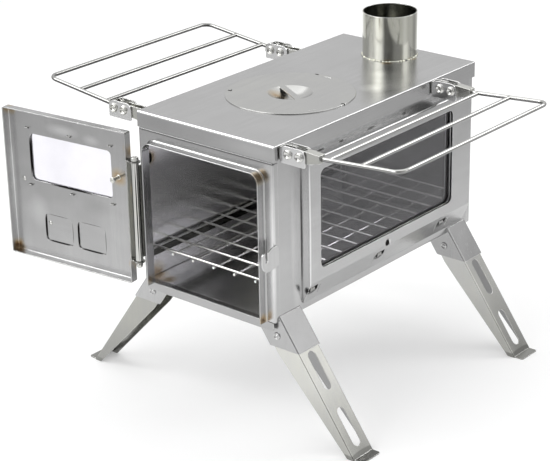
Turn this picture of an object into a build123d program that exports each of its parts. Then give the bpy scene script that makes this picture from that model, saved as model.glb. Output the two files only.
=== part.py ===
from build123d import *
import math
import os

# A folding camping wood stove in sheet steel. Millimetres, +Z up.
# Everything is first built in the firebox frame: X = 0 in the middle (+X is the right side seen
# from the door), Y = 0 on the front face (+Y towards the flue), Z = 0 under the firebox floor.
# At the end all pieces are moved so that the origin is under the middle of the stove, on the ground.

# Sheet and fits
SHEET = 1.2
TOP_SHEET = 1.5
BEND = 2.5
RUN_FIT = 0.05
SIDE_PLAY = 0.5
OVER = 1.0
FAR = 60.0

# Firebox
BOX_W = 204.0
BOX_L = 388.5
WALL_H = 213.3
PANEL_RETURN = 8.0
SEAM_LENGTH = 18.0
SEAM_WIDTH = 0.8

# Top plate, cooking hole, lid
FLANGE_DROP = 19.5
FLANGE_GAP = 0.5
HOLE_R = 74.0
HOLE_Y = 155.0
LID_OVERLAP = 3.8
LID_SHEET = 1.2
LID_CHAMFER = 0.3
LID_DISH_R = 27.0
LID_DISH_DEPTH = 8.0
LID_STRAP_W = 8.0
LID_STRAP_LAP = 2.0
LID_STRAP_TURN = -29.0
LID_TAB_W = 8.0
LID_TAB_DROP = 6.0
LID_TAB_GAP = 1.0
LID_TABS = 3
LID_TAB_TURN = 90.0

# Flue collar
FLUE_R = 34.4
FLUE_WALL = 1.2
FLUE_H = 56.5
FLUE_FROM_BACK = 36.5
FLUE_BELOW = 6.0

# Door opening, collar and sill
MOUTH_SIDE = 13.5
MOUTH_BELOW_FLANGE = 13.3
MOUTH_R = 12.0
COLLAR_DEPTH = 11.0
COLLAR_FLARE = 2.2
COLLAR_LIP = 0.4
SILL_DROP = 10.3
SILL_INSET = 4.0
SILL_R = 3.0
SILL_BACK = 0.9

# Side window, on the right wall
WIN_Y0 = 67.5
WIN_FROM_BACK = 60.5
WIN_Z0 = 49.5
WIN_BELOW_FLANGE = 24.3
WIN_R = 8.0
FRAME_Y0 = 48.5
FRAME_FROM_BACK = 20.5
FRAME_BELOW_FLANGE = 8.8
FRAME_Z0 = 10.0
FRAME_FOLD_Z = 36.0
FRAME_DEPTH = 13.0
FRAME_BEND = 2.0
FRAME_FOOT = 1.3
GASKET_T = 4.0
GLASS_T = 4.0
GLASS_LAP = 7.0
GLASS_R = 2.0
RETAINER_T = 1.5
RETAINER_W = 6.0
SPACER_GAP = 0.3
SPACER_SHORT = 0.6
SPACER_LENGTH = 10.0
SPACER_INSET = 20.0
LUG_W = 8.0
LUG_T = 5.0
LUG_Z = 26.5
LUG_OUT = 9.0
LUG_R = 1.5
LUG_HOLE_W = 16.0
LUG_HOLE_LOW = 2.8
LUG_HOLE_HIGH = 4.2
LUG_FLAP_W = 24.0
LUG_SLIT_W = 0.8
LUG_SLIT_DROP = 7.0
LUG_FIRST = 4.8
LUG_LAST = 15.0

# Door, modelled closed and then swung open
DOOR_INSET = 7.2
DOOR_BELOW_FLANGE = 8.5
DOOR_Z0 = -4.8
DOOR_BEND = 2.2
DOOR_CLEAR = 0.6
DOOR_RIM_CLEAR = 1.0
DOOR_OPEN = 173.9
DOOR_WIN_FROM_HINGE = 31.0
DOOR_WIN_FROM_FREE = 32.6
DOOR_WIN_LOW = 99.5
DOOR_WIN_BELOW_TOP = 31.6
DOOR_WIN_R = 6.0
DOOR_FRAME_MARGIN = 7.6
DOOR_FRAME_BEND = 2.0
DOOR_FRAME_PLAY = 0.3
DOOR_GLASS_T = 3.0
DOOR_GLASS_LAP = 6.0
DOOR_LUG_IN = 3.0
DOOR_LUG_W = 5.0
DOOR_LUG_T = 1.2
DOOR_LUG_SHIFT = 3.0
DOOR_LUG_PLAY = 0.5
STUD_FROM_HINGE = 20.3
STUD_HIGH = 129.5
STUD_R = 2.6
STUD_SHANK_R = 1.8
STUD_LENGTH = 13.0
STUD_HEAD_R = 3.6
STUD_HEAD_T = 2.6
STUD_TAIL_R = 3.2
STUD_TAIL_H = 1.2

# Door hinge
HINGE_OUT = 3.2
HINGE_Y = 5.0
BARREL_R = 4.75
BARREL_Z0 = 26.5
BARREL_BELOW_TOP = 35.6
ROD_R = 2.4
EAR_T = 1.5
EAR_R = 6.6
EAR_GAP = 0.3
EAR_ARM_INSET = 1.5
ROD_HEAD_R = 4.6
ROD_HEAD_T = 5.0
ROD_NUT_R = 4.2
ROD_NUT_SINK = 0.6
HINGE_STRAP_BACK = 14.0
HINGE_STRAP_INSET = 4.0

# Air intake and its sliding plate
VENT_FROM_HINGE = 46.0
VENT_W = 43.0
VENT_PITCH = 51.5
VENTS = 2
VENT_LOW = 22.5
VENT_TALL = 35.5
VENT_R = 4.0
DAMPER_LAP = 5.0
DAMPER_GAP = 0.3
DAMPER_TRAVEL = 34.0
DAMPER_R = 2.0
RAIL_W = 7.0
RAIL_LAP = 2.0
RAIL_INSET = 3.0
KNOB_FROM_HINGE = 134.0
KNOB_RISE = 23.5
KNOB_R = 4.5
KNOB_OUT = 7.0
KNOB_ROUND = 1.2
KNOB_TAIL_R = 2.9
KNOB_TAIL_H = 1.0

# Door latch and its keeper on the right wall
LATCH_FROM_FREE = 19.3
LATCH_HIGH = 98.3
LATCH_BAR_W = 8.0
LATCH_BAR_T = 2.0
LATCH_REACH = 35.0
LATCH_GRIP = 17.0
LATCH_GAP = 0.8
LATCH_PIN_R = 2.4
LATCH_HEAD_R = 4.4
LATCH_HEAD_H = 1.8
LATCH_PLAY = 0.3
TAIL_LAP = 0.8
TAIL_H = 1.0
KEEPER_T = 1.5
KEEPER_BACK = 7.5
KEEPER_LOW = 70.0
KEEPER_HIGH = 97.0
KEEPER_TIP = 22.5
NOTCH_Y0 = 17.6
NOTCH_Y1 = 12.0
NOTCH_Z = 82.0
NOTCH_R = 2.2
TIP_Z = 94.0
KEEPER_CUT = 4.0
KEEPER_TIP_CUT = 2.0
KEEPER_BELLY = 9.0

# Grate and the ledges it lies on
GRATE_WIRE_R = 1.5
GRATE_Z = 42.5
GRATE_SIDE_GAP = 1.5
GRATE_Y0 = 13.2
GRATE_CROSS = 13
GRATE_LONG = 7
GRATE_STUB = 3.5
GRATE_SINK = 0.2
LEDGE_LIP = 2.4
LEDGE_DROP = 13.5
LEDGE_INSET = 6.0
LEDGE_PLAY = 0.2

# Side racks: a wire frame on two arms, on two-pin links, on ears on the top plate's flange
RACK_Y0 = 15.0
RACK_FROM_BACK = 87.0
RACK_WIRE_R = 2.5
RACK_CORNER = 12.0
PIVOT_DROP = 8.0
LINK_PITCH = 15.7
LINK_T = 1.5
LINK_OVER = 9.0
LINK_UNDER = 11.5
LINK_INNER_END = 11.9
LINK_OUTER_END = 7.9
LINK_TOP_R = 8.0
LINK_FOOT_R = 2.0
EAR_PLATE_T = 1.5
EAR_HALF_GAP = 3.7
EAR_EYE_R = 6.5
EAR_HEEL = 3.0
ARM_NOSE_H = 4.5
ARM_SHOULDER_H = 8.0
ARM_END_T = 1.5
ARM_START = 2.0
WIRE_SET_IN = 2.0
WELD = 0.1
RIVET_R = 2.5
RIVET_HEAD_R = 5.8
RIVET_HEAD_H = 2.6
EAR_REACH_RIGHT = 13.5
EAR_REACH_LEFT = 28.3
RACK_TILT = {"right": 4.4, "left": 6.8}
ARM_REACH_RIGHT = 26.3
ARM_REACH_LEFT = 10.2
RACK_INNER = 64.3
RACK_MIDDLE = 108.7
RACK_OUTER = 161.2

# Legs in brackets under the floor
LEG_TILT = 35.5
PIN_INSET = 3.0
PIN_Z = -17.2
LEG_OUT = 16.2
LEG_W_RIGHT = 36.0
LEG_W_LEFT = 30.4
LEG_Y_FRONT = 25.2
LEG_FROM_BACK = 32.0
LEG_DEPTH_TOP = 29.3
LEG_DEPTH_FOOT = 8.5
LEG_TOP_STATION = 1.0
LEG_KNEE = 20.0
LEG_EYE_R = 12.6
LEG_SHOULDER = 10.2
LEG_BEND = 1.6
SLOT_W = 13.0
SLOT_LENGTH = 49.0
SLOT_FIRST = 32.5
SLOT_STEP = 72.0
SLOTS = 2
FOOT_FLAP = 11.0
FOOT_ROOT = 2.2
FOOT_INSET = 1.5
FOOT_R = 3.0
GROUND_Z = -143.5
BRACKET_CLEAR = 0.4
BRACKET_DEPTH = 34.8
BRACKET_LOW = -31.5
BRACKET_BEND = 2.2
BRACKET_HIGH = 8.0
LEG_PIN_R = 3.0
LEG_PIN_HEAD_R = 4.6
LEG_PIN_HEAD_H = 2.2
LEG_PIN_PLAY = 0.3

# Derived places
HALF_W = BOX_W / 2
PLATE_Z = WALL_H + TOP_SHEET
FLANGE_Z = PLATE_Z - FLANGE_DROP
FLANGE_X = HALF_W + FLANGE_GAP + TOP_SHEET
PLATE_Y1 = BOX_L + FLANGE_GAP + TOP_SHEET
LID_R = HOLE_R + LID_OVERLAP
FLUE_Y = BOX_L - FLUE_FROM_BACK
MOUTH_W = BOX_W - 2 * MOUTH_SIDE
MOUTH_TOP = FLANGE_Z - MOUTH_BELOW_FLANGE
WIN_Y1 = BOX_L - WIN_FROM_BACK
WIN_Z1 = FLANGE_Z - WIN_BELOW_FLANGE
FRAME_Y1 = BOX_L - FRAME_FROM_BACK
FRAME_Z1 = FLANGE_Z - FRAME_BELOW_FLANGE
GLASS_X = HALF_W + GASKET_T
RETAINER_X = GLASS_X + GLASS_T
DOOR_W = BOX_W - 2 * DOOR_INSET
DOOR_H = FLANGE_Z - DOOR_BELOW_FLANGE - DOOR_Z0
DOOR_WIN_HIGH = DOOR_H - DOOR_WIN_BELOW_TOP
DOOR_WIN_END = DOOR_W - DOOR_WIN_FROM_FREE
LATCH_END = DOOR_W - LATCH_FROM_FREE
HINGE_X = HALF_W + HINGE_OUT
BARREL_Z1 = DOOR_Z0 + DOOR_H - BARREL_BELOW_TOP
EAR_LOW = BARREL_Z0 - EAR_GAP - EAR_T
EAR_HIGH = BARREL_Z1 + EAR_GAP + EAR_T
DAMPER_LOW = VENT_LOW - DAMPER_LAP
DAMPER_HIGH = VENT_LOW + VENT_TALL + DAMPER_LAP
RACK_Y1 = BOX_L - RACK_FROM_BACK
EAR_REACH = {"right": EAR_REACH_RIGHT, "left": EAR_REACH_LEFT}
ARM_REACH = {"right": ARM_REACH_RIGHT, "left": ARM_REACH_LEFT}
PIN_X = HALF_W - PIN_INSET
LEG_W = {"right": LEG_W_RIGHT, "left": LEG_W_LEFT}
LEG_Y = {"front": LEG_Y_FRONT, "rear": BOX_L - LEG_FROM_BACK}
DOOR_HALF = DOOR_W / 2
DOOR_INNER_Y = -(COLLAR_DEPTH + DOOR_CLEAR)
DOOR_OUTER_Y = DOOR_INNER_Y - SHEET
DOOR_DEPTH = -DOOR_RIM_CLEAR - DOOR_OUTER_Y
TOP_BEND = TOP_SHEET + FLANGE_GAP
GRATE_HALF_W = HALF_W - SHEET - GRATE_SIDE_GAP
LINK_HALF = EAR_HALF_GAP + EAR_PLATE_T + SIDE_PLAY + LINK_T
PIVOT_Z = PLATE_Z - PIVOT_DROP

parts = {}


# Helpers

def block(x0, x1, y0, y1, z0, z1):
    return Pos((x0 + x1) / 2, (y0 + y1) / 2, (z0 + z1) / 2) * Box(x1 - x0, y1 - y0, z1 - z0)


def along_x(sketch, x0, x1):
    """Extrudes a sketch drawn in (Y, Z) from x0 to x1."""
    return extrude(Plane(origin=(x0, 0, 0), x_dir=(0, 1, 0), z_dir=(1, 0, 0)) * sketch, x1 - x0)


def along_y(sketch, y0, y1):
    """Extrudes a sketch drawn in (X, Z) from y0 to y1."""
    return extrude(Plane(origin=(0, y1, 0), x_dir=(1, 0, 0), z_dir=(0, -1, 0)) * sketch, y1 - y0)


def along_z(sketch, z0, z1):
    """Extrudes a sketch drawn in (X, Y) from z0 to z1."""
    return extrude(Pos(0, 0, z0) * sketch, z1 - z0)


def rounded(a0, a1, b0, b1, radius):
    """A rounded rectangle between two corners."""
    return Pos((a0 + a1) / 2, (b0 + b1) / 2) * RectangleRounded(a1 - a0, b1 - b0, radius)


def outline(*points):
    return make_face(Polyline(*points, close=True))


def round_corners(sketch, radius, *corners):
    """Rounds the named corners of a flat outline."""
    chosen = [v for v in sketch.vertices() if any((v.center() - Vector(*c)).length < 0.01 for c in corners)]
    return fillet(chosen, radius)


def pan(width, length, depth, wall, bend):
    """A folded tray: base face up at z = 0, its walls hanging to z = -depth."""
    shell = Pos(0, 0, -depth / 2) * Box(width, length, depth)
    shell = fillet(shell.edges().filter_by(Axis.Z) + shell.faces().sort_by(Axis.Z)[-1].edges(), bend)
    cavity = Pos(0, 0, -wall - depth / 2) * Box(width - 2 * wall, length - 2 * wall, depth)
    inner_bend = bend - wall
    cavity = fillet(cavity.edges().filter_by(Axis.Z) + cavity.faces().sort_by(Axis.Z)[-1].edges(), inner_bend)
    return shell - cavity


def facing(x, y, z, x_dir, z_dir):
    return Plane(origin=(x, y, z), x_dir=x_dir, z_dir=z_dir)


def cylinder_y(x, z, y0, y1, radius):
    return along_y(Pos(x, z) * Circle(radius), y0, y1)


def dome(radius, height):
    """A low rivet head standing on z = 0."""
    ball_r = (radius ** 2 + height ** 2) / (2 * height)
    cap = Pos(0, 0, height - ball_r) * Sphere(ball_r)
    return cap & Pos(0, 0, height / 2) * Cylinder(radius + OVER, height)


def rivet_y(x, z, y0, y1, shank_r, head_r, head_h):
    """A rivet along Y with a domed head outside y0 and outside y1."""
    shank = cylinder_y(x, z, y0, y1, shank_r)
    front = facing(x, y0, z, (1, 0, 0), (0, -1, 0)) * dome(head_r, head_h)
    back = facing(x, y1, z, (1, 0, 0), (0, 1, 0)) * dome(head_r, head_h)
    return shank + front + back


def on_side(shape, side):
    """Mirrors a piece drawn on the right where it belongs on the left."""
    return shape if side == "right" else mirror(shape, Plane.YZ)


# Firebox

def firebox_shell():
    """Floor and both walls in one bent sheet, with the window cut in the right wall."""
    y0 = PANEL_RETURN
    y1 = BOX_L - PANEL_RETURN
    outer = block(-HALF_W, HALF_W, y0, y1, 0, WALL_H)
    outer = fillet(outer.edges().filter_by(Axis.Y).group_by(Axis.Z)[0], BEND)
    inner = block(-HALF_W + SHEET, HALF_W - SHEET, y0 - OVER, y1 + OVER, SHEET, WALL_H + OVER)
    inner = fillet(inner.edges().filter_by(Axis.Y).group_by(Axis.Z)[0], BEND - SHEET)
    window = along_x(window_shape(0, WIN_R), HALF_W - 2 * SHEET, HALF_W + SHEET)
    return outer - inner - window


def front_panel():
    height = FLANGE_Z
    tray = pan(BOX_W, height, PANEL_RETURN, SHEET, BEND)
    tray = facing(0, 0, height / 2, (1, 0, 0), (0, -1, 0)) * tray
    mouth = mouth_outline(SHEET)
    tray -= along_y(mouth, -OVER, SHEET + OVER)
    for side in (-1, 1):
        end = side * (HALF_W + OVER)
        start = side * (HALF_W - SEAM_LENGTH)
        seam = height - SEAM_WIDTH
        tray -= block(min(end, start), max(end, start), -OVER, SHEET + OVER, seam, height + OVER)
    return tray


def mouth_outline(inset):
    """The door opening, drawn in (X, Z): square below, rounded above."""
    half = MOUTH_W / 2 - inset
    top = MOUTH_TOP - inset
    face = outline((-half, SHEET), (half, SHEET), (half, top), (-half, top))
    return round_corners(face, MOUTH_R - inset, (half, top), (-half, top))


def door_collar():
    """The raised lip round the door opening, flared where it leaves the front panel."""
    half = MOUTH_W / 2 - SHEET
    top = MOUTH_TOP - SHEET
    path = FilletPolyline((-half, 0, 0), (-half, 0, top), (half, 0, top), (half, 0, 0),
                          radius=MOUTH_R - SHEET)
    lip = COLLAR_LIP
    edge = SHEET + COLLAR_FLARE
    profile_plane = Plane(origin=(-half, 0, 0), x_dir=(-1, 0, 0), z_dir=(0, 0, 1))
    rim = Polyline((0, 0), (0, COLLAR_DEPTH - lip), (lip, COLLAR_DEPTH), (SHEET - lip, COLLAR_DEPTH),
                   (SHEET, COLLAR_DEPTH - lip), (SHEET, COLLAR_FLARE))
    middle = COLLAR_FLARE * (1 - math.sqrt(0.5))
    flare = ThreePointArc((SHEET, COLLAR_FLARE), (SHEET + middle, middle), (edge, 0))
    base = Line((edge, 0), (0, 0))
    profile = make_face(rim + flare + base)
    return sweep(profile_plane * profile, path)


def sill_strip():
    half = HALF_W - SILL_INSET
    face = outline((-half, -SILL_DROP), (half, -SILL_DROP), (half, 0), (-half, 0))
    face = round_corners(face, SILL_R, (-half, -SILL_DROP), (half, -SILL_DROP))
    return along_y(face, SILL_BACK, SILL_BACK + SHEET)


def back_panel():
    tray = pan(BOX_W, WALL_H, PANEL_RETURN, SHEET, BEND)
    tray = facing(0, BOX_L, WALL_H / 2, (-1, 0, 0), (0, 1, 0)) * tray
    return tray - Pos(0, FLUE_Y, WALL_H) * Cylinder(FLUE_R, 4 * SHEET)


def top_plate():
    width = 2 * FLANGE_X
    tray = pan(width, PLATE_Y1, FLANGE_DROP, TOP_SHEET, TOP_BEND)
    tray = Pos(0, PLATE_Y1 / 2, PLATE_Z) * tray
    tray -= Pos(0, HOLE_Y, PLATE_Z) * Cylinder(HOLE_R, 3 * TOP_SHEET)
    tray -= Pos(0, FLUE_Y, PLATE_Z) * Cylinder(FLUE_R, 3 * TOP_SHEET)
    return tray


def lid():
    """The cooking plate's lid: a dished disc with a grip strap across, and centring tabs."""
    z0 = PLATE_Z
    z1 = PLATE_Z + LID_SHEET
    disc = Pos(0, HOLE_Y, (z0 + z1) / 2) * Cylinder(LID_R, LID_SHEET)
    disc = chamfer(disc.edges().group_by(Axis.Z)[-1], LID_CHAMFER)
    ball_r = (LID_DISH_R ** 2 + LID_DISH_DEPTH ** 2) / (2 * LID_DISH_DEPTH)
    centre_z = z1 - LID_DISH_DEPTH + ball_r
    keep = Pos(0, HOLE_Y, z1 - LID_DISH_DEPTH) * Cylinder(2 * LID_DISH_R, 2 * LID_DISH_DEPTH)
    bowl_out = (Pos(0, HOLE_Y, centre_z) * Sphere(ball_r + LID_SHEET)) & keep
    bowl_in = (Pos(0, HOLE_Y, centre_z) * Sphere(ball_r)) & keep
    strap = Box(2 * (LID_DISH_R + LID_STRAP_LAP), LID_STRAP_W, LID_SHEET)
    strap = Pos(0, HOLE_Y, (z0 + z1) / 2) * Rot(0, 0, LID_STRAP_TURN) * strap
    body = disc + bowl_out - bowl_in + strap
    tab_r = HOLE_R - LID_TAB_GAP - LID_SHEET / 2
    for number in range(LID_TABS):
        turn = Rot(0, 0, LID_TAB_TURN + number * 360 / LID_TABS)
        slit = Pos(tab_r - LID_SHEET, 0, (z0 + z1) / 2) * Box(LID_SHEET, LID_TAB_W, 2 * LID_SHEET)
        tall = LID_TAB_DROP + LID_SHEET
        tab = Pos(tab_r, 0, z1 - tall / 2) * Box(LID_SHEET, LID_TAB_W, tall)
        body = body - Pos(0, HOLE_Y, 0) * turn * slit + Pos(0, HOLE_Y, 0) * turn * tab
    return body


def flue_collar():
    z0 = WALL_H - FLUE_BELOW
    z1 = PLATE_Z + FLUE_H
    ring = Pos(0, FLUE_Y, (z0 + z1) / 2) * Cylinder(FLUE_R - RUN_FIT, z1 - z0)
    ring -= Pos(0, FLUE_Y, (z0 + z1) / 2) * Cylinder(FLUE_R - FLUE_WALL, z1 - z0 + OVER)
    return ring


# Side window

def window_shape(grow, radius):
    """The window opening, drawn in (Y, Z) and grown on all sides."""
    return rounded(WIN_Y0 - grow, WIN_Y1 + grow, WIN_Z0 - grow, WIN_Z1 + grow, radius)


def window_gasket():
    ring = window_shape(GLASS_LAP, GLASS_R) - window_shape(0, WIN_R)
    return along_x(ring, HALF_W, GLASS_X)


def window_glass():
    return along_x(window_shape(GLASS_LAP, GLASS_R), GLASS_X, RETAINER_X)


def window_retainer():
    ring = window_shape(RETAINER_W, WIN_R) - window_shape(0, WIN_R)
    return along_x(ring, RETAINER_X, RETAINER_X + RETAINER_T)


def frame_section(inset):
    """The window frame's section in (X, Z), with a skirt that slopes back to the wall."""
    x0 = HALF_W
    x1 = HALF_W + FRAME_DEPTH - inset
    top = FRAME_Z1 - inset
    slope = (FRAME_DEPTH - FRAME_FOOT) / (FRAME_FOLD_Z - FRAME_Z0)
    fold = FRAME_FOLD_Z + inset * slope / 2
    low = FRAME_Z0 if inset == 0 else FRAME_Z0 - OVER
    foot = x1 - (fold - low) * slope
    back = x0 if inset == 0 else x0 - OVER
    return outline((back, top), (x1, top), (x1, fold), (foot, low), (back, low))


def window_frame():
    """The deep frame over the glass, with holes and slit flaps for the lugs in its skirt."""
    outer = along_y(frame_section(0), FRAME_Y0, FRAME_Y1)
    face_x = HALF_W + FRAME_DEPTH
    rim = [e for e in outer.edges().group_by(Axis.X)[-1] if e.center().Z > FRAME_FOLD_Z + OVER]
    outer = fillet(rim, FRAME_BEND)
    inner = along_y(frame_section(SHEET), FRAME_Y0 + SHEET, FRAME_Y1 - SHEET)
    frame = outer - inner - along_x(window_shape(0, WIN_R), face_x - 2 * SHEET, face_x + OVER)
    x0 = HALF_W + SHEET
    x1 = face_x + OVER
    low = LUG_Z - LUG_HOLE_LOW
    high = LUG_Z + LUG_HOLE_HIGH
    for y in lug_places():
        frame -= block(x0, x1, y - LUG_HOLE_W / 2, y + LUG_HOLE_W / 2, low, high)
        for slit_y in (y - LUG_FLAP_W / 2, y + LUG_FLAP_W / 2):
            if slit_y > FRAME_Y0 + 2 * SHEET:
                frame -= block(x0, x1, slit_y, slit_y + LUG_SLIT_W, low - LUG_SLIT_DROP, high - OVER)
    return frame


def lug_places():
    """Three lugs along the window's foot, evenly spaced."""
    first = FRAME_Y0 + LUG_FIRST + LUG_HOLE_W / 2 - LUG_W / 2
    last = WIN_Y1 - LUG_LAST
    return [first, (first + last) / 2, last]


def window_lugs():
    """Lugs on the wall that show in the holes of the frame's skirt and hold it."""
    lugs = []
    for y in lug_places():
        plate = Pos(HALF_W + LUG_OUT / 2, y, LUG_Z) * Box(LUG_OUT, LUG_W, LUG_T)
        tip = [e for e in plate.edges() if e.center().X > HALF_W + LUG_OUT - SIDE_PLAY]
        lugs.append(fillet(tip, LUG_R))
    return lugs


def window_spacers():
    """Folded tabs that press the retainer and the glass against the wall."""
    x0 = RETAINER_X + RETAINER_T
    x1 = HALF_W + FRAME_DEPTH - SHEET
    reach = RETAINER_W - SPACER_SHORT
    half = SPACER_LENGTH / 2
    above = (WIN_Z1 + SPACER_GAP, WIN_Z1 + SPACER_GAP + reach)
    below = (WIN_Z0 - SPACER_GAP - reach, WIN_Z0 - SPACER_GAP)
    middles = (WIN_Y0 + SPACER_INSET, (WIN_Y0 + WIN_Y1) / 2, WIN_Y1 - SPACER_INSET)
    return [block(x0, x1, y - half, y + half, z0, z1) for y in middles for z0, z1 in (below, above)]


def door_keeper():
    """The hooked plate on the right wall that the latch bar drops into."""
    back = KEEPER_BACK
    cut = KEEPER_CUT
    bevel = KEEPER_TIP_CUT
    shape = outline((back, KEEPER_LOW + bevel), (back, KEEPER_HIGH - cut), (back - cut, KEEPER_HIGH),
                    (2 * cut - NOTCH_Y1, KEEPER_HIGH), (-NOTCH_Y1, KEEPER_HIGH - cut), (-NOTCH_Y1, NOTCH_Z),
                    (-NOTCH_Y0, NOTCH_Z), (-NOTCH_Y0, TIP_Z), (-KEEPER_TIP + bevel, TIP_Z),
                    (-KEEPER_TIP, TIP_Z - bevel), (-KEEPER_TIP, KEEPER_LOW + KEEPER_BELLY),
                    (-KEEPER_TIP + bevel, KEEPER_LOW + cut), (-NOTCH_Y0 + bevel, KEEPER_LOW),
                    (-KEEPER_BELLY, KEEPER_LOW))
    low = [v for v in shape.vertices() if abs(v.Y - NOTCH_Z) < 0.01]
    shape = fillet(low, NOTCH_R)
    return along_x(shape, HALF_W, HALF_W + KEEPER_T)


# Door hinge on the left front corner

def hinge_barrel():
    """The barrel, on a strap along the left wall."""
    x = -HINGE_X
    y = -HINGE_Y
    tube = along_z(Pos(x, y) * Circle(BARREL_R), BARREL_Z0, BARREL_Z1)
    low = BARREL_Z0 + HINGE_STRAP_INSET
    high = BARREL_Z1 - HINGE_STRAP_INSET
    strap = block(-HALF_W - SHEET, -HALF_W, y, HINGE_STRAP_BACK, low, high)
    bore = along_z(Pos(x, y) * Circle(ROD_R + RUN_FIT), BARREL_Z0 - OVER, BARREL_Z1 + OVER)
    return tube + strap - bore


def swing(shape):
    """Turns a piece of the closed door open about the hinge."""
    return Pos(-HINGE_X, -HINGE_Y, 0) * Rot(0, 0, -DOOR_OPEN) * Pos(HINGE_X, HINGE_Y, 0) * shape


def door_x(u):
    """X on the closed door, from the distance to its hinge edge."""
    return -DOOR_HALF + u


def door_z(h):
    return DOOR_Z0 + h


def vent_openings():
    starts = [VENT_FROM_HINGE + number * VENT_PITCH for number in range(VENTS)]
    low = door_z(VENT_LOW)
    return [rounded(door_x(u), door_x(u + VENT_W), low, low + VENT_TALL, VENT_R) for u in starts]


def door_window(grow, radius):
    return rounded(door_x(DOOR_WIN_FROM_HINGE) - grow, door_x(DOOR_WIN_END) + grow,
                   door_z(DOOR_WIN_LOW) - grow, door_z(DOOR_WIN_HIGH) + grow, radius)


def door_lug_places():
    """Six lugs round the door window, in (X, Z)."""
    margin = DOOR_FRAME_MARGIN - SHEET / 2
    x0 = door_x(DOOR_WIN_FROM_HINGE)
    x1 = door_x(DOOR_WIN_END)
    xs = (x0, (x0 + x1) / 2, x1 + DOOR_LUG_SHIFT)
    zs = (door_z(DOOR_WIN_LOW) - margin, door_z(DOOR_WIN_HIGH) + margin)
    return [(x, z) for x in xs for z in zs]


def door_panel():
    tray = pan(DOOR_W, DOOR_H, DOOR_DEPTH, SHEET, DOOR_BEND)
    tray = facing(0, DOOR_OUTER_Y, DOOR_Z0 + DOOR_H / 2, (1, 0, 0), (0, -1, 0)) * tray
    through0 = DOOR_OUTER_Y - OVER
    through1 = DOOR_INNER_Y + OVER
    tray -= along_y(door_window(0, DOOR_WIN_R), through0, through1)
    for face in vent_openings():
        tray -= along_y(face, through0, through1)
    slot_x = DOOR_LUG_W / 2 + DOOR_LUG_PLAY
    slot_z = DOOR_LUG_T / 2 + DOOR_LUG_PLAY
    for x, z in door_lug_places():
        tray -= block(x - slot_x, x + slot_x, through0, through1, z - slot_z, z + slot_z)
    tray -= cylinder_y(door_x(LATCH_END), door_z(LATCH_HIGH), through0, through1, LATCH_PIN_R + RUN_FIT)
    tray -= cylinder_y(door_x(STUD_FROM_HINGE), door_z(STUD_HIGH), through0, through1, STUD_SHANK_R + RUN_FIT)
    return tray


def door_glass():
    return along_y(door_window(DOOR_GLASS_LAP, GLASS_R), DOOR_OUTER_Y - DOOR_GLASS_T, DOOR_OUTER_Y)


def door_glass_frame():
    """The outside frame that holds the glass on the door."""
    depth = DOOR_GLASS_T + SHEET + DOOR_FRAME_PLAY
    width = DOOR_WIN_END - DOOR_WIN_FROM_HINGE + 2 * DOOR_FRAME_MARGIN
    height = DOOR_WIN_HIGH - DOOR_WIN_LOW + 2 * DOOR_FRAME_MARGIN
    x = door_x((DOOR_WIN_FROM_HINGE + DOOR_WIN_END) / 2)
    z = door_z((DOOR_WIN_LOW + DOOR_WIN_HIGH) / 2)
    tray = pan(width, height, depth, SHEET, DOOR_FRAME_BEND)
    tray = facing(x, DOOR_OUTER_Y - depth, z, (1, 0, 0), (0, -1, 0)) * tray
    return tray - along_y(door_window(0, DOOR_WIN_R), DOOR_OUTER_Y - depth - OVER, DOOR_OUTER_Y)


def door_glass_lugs():
    """Lugs of the outside frame, through the door and bent over inside."""
    lugs = []
    for x, z in door_lug_places():
        lugs.append(block(x - DOOR_LUG_W / 2, x + DOOR_LUG_W / 2, DOOR_OUTER_Y, DOOR_INNER_Y + DOOR_LUG_IN,
                          z - DOOR_LUG_T / 2, z + DOOR_LUG_T / 2))
    return lugs


def door_stud():
    """A headed stud inside the door, riveted through it."""
    x = door_x(STUD_FROM_HINGE)
    z = door_z(STUD_HIGH)
    end = DOOR_INNER_Y + STUD_LENGTH
    shank = cylinder_y(x, z, DOOR_OUTER_Y, DOOR_INNER_Y, STUD_SHANK_R)
    tail = facing(x, DOOR_OUTER_Y, z, (1, 0, 0), (0, -1, 0)) * dome(STUD_TAIL_R, STUD_TAIL_H)
    stud = cylinder_y(x, z, DOOR_INNER_Y, end, STUD_R)
    return shank + tail + stud + cylinder_y(x, z, end - STUD_HEAD_T, end, STUD_HEAD_R)


def hinge_bracket():
    """The C bracket on the door's hinge edge, with an ear over each end of the barrel."""
    web = block(-DOOR_HALF - SHEET, -DOOR_HALF, -HINGE_Y - EAR_R, -DOOR_RIM_CLEAR, EAR_LOW, EAR_HIGH)
    eye = Pos(-HINGE_X, -HINGE_Y) * Circle(EAR_R)
    front = EAR_ARM_INSET - HINGE_Y - EAR_R
    rear = -DOOR_RIM_CLEAR
    arm = outline((-HINGE_X, front), (-DOOR_HALF, front), (-DOOR_HALF, rear), (-HINGE_X, rear))
    hole = Pos(-HINGE_X, -HINGE_Y) * Circle(ROD_R + RUN_FIT)
    ear = eye + arm - hole
    return web + along_z(ear, EAR_LOW, EAR_LOW + EAR_T) + along_z(ear, EAR_HIGH - EAR_T, EAR_HIGH)


def hinge_rod():
    rod = along_z(Pos(-HINGE_X, -HINGE_Y) * Circle(ROD_R), EAR_LOW - ROD_NUT_R, EAR_HIGH)
    head = along_z(Pos(-HINGE_X, -HINGE_Y) * Circle(ROD_HEAD_R), EAR_HIGH, EAR_HIGH + ROD_HEAD_T)
    return rod + fillet(head.edges().group_by(Axis.Z)[-1], KNOB_ROUND)


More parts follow.
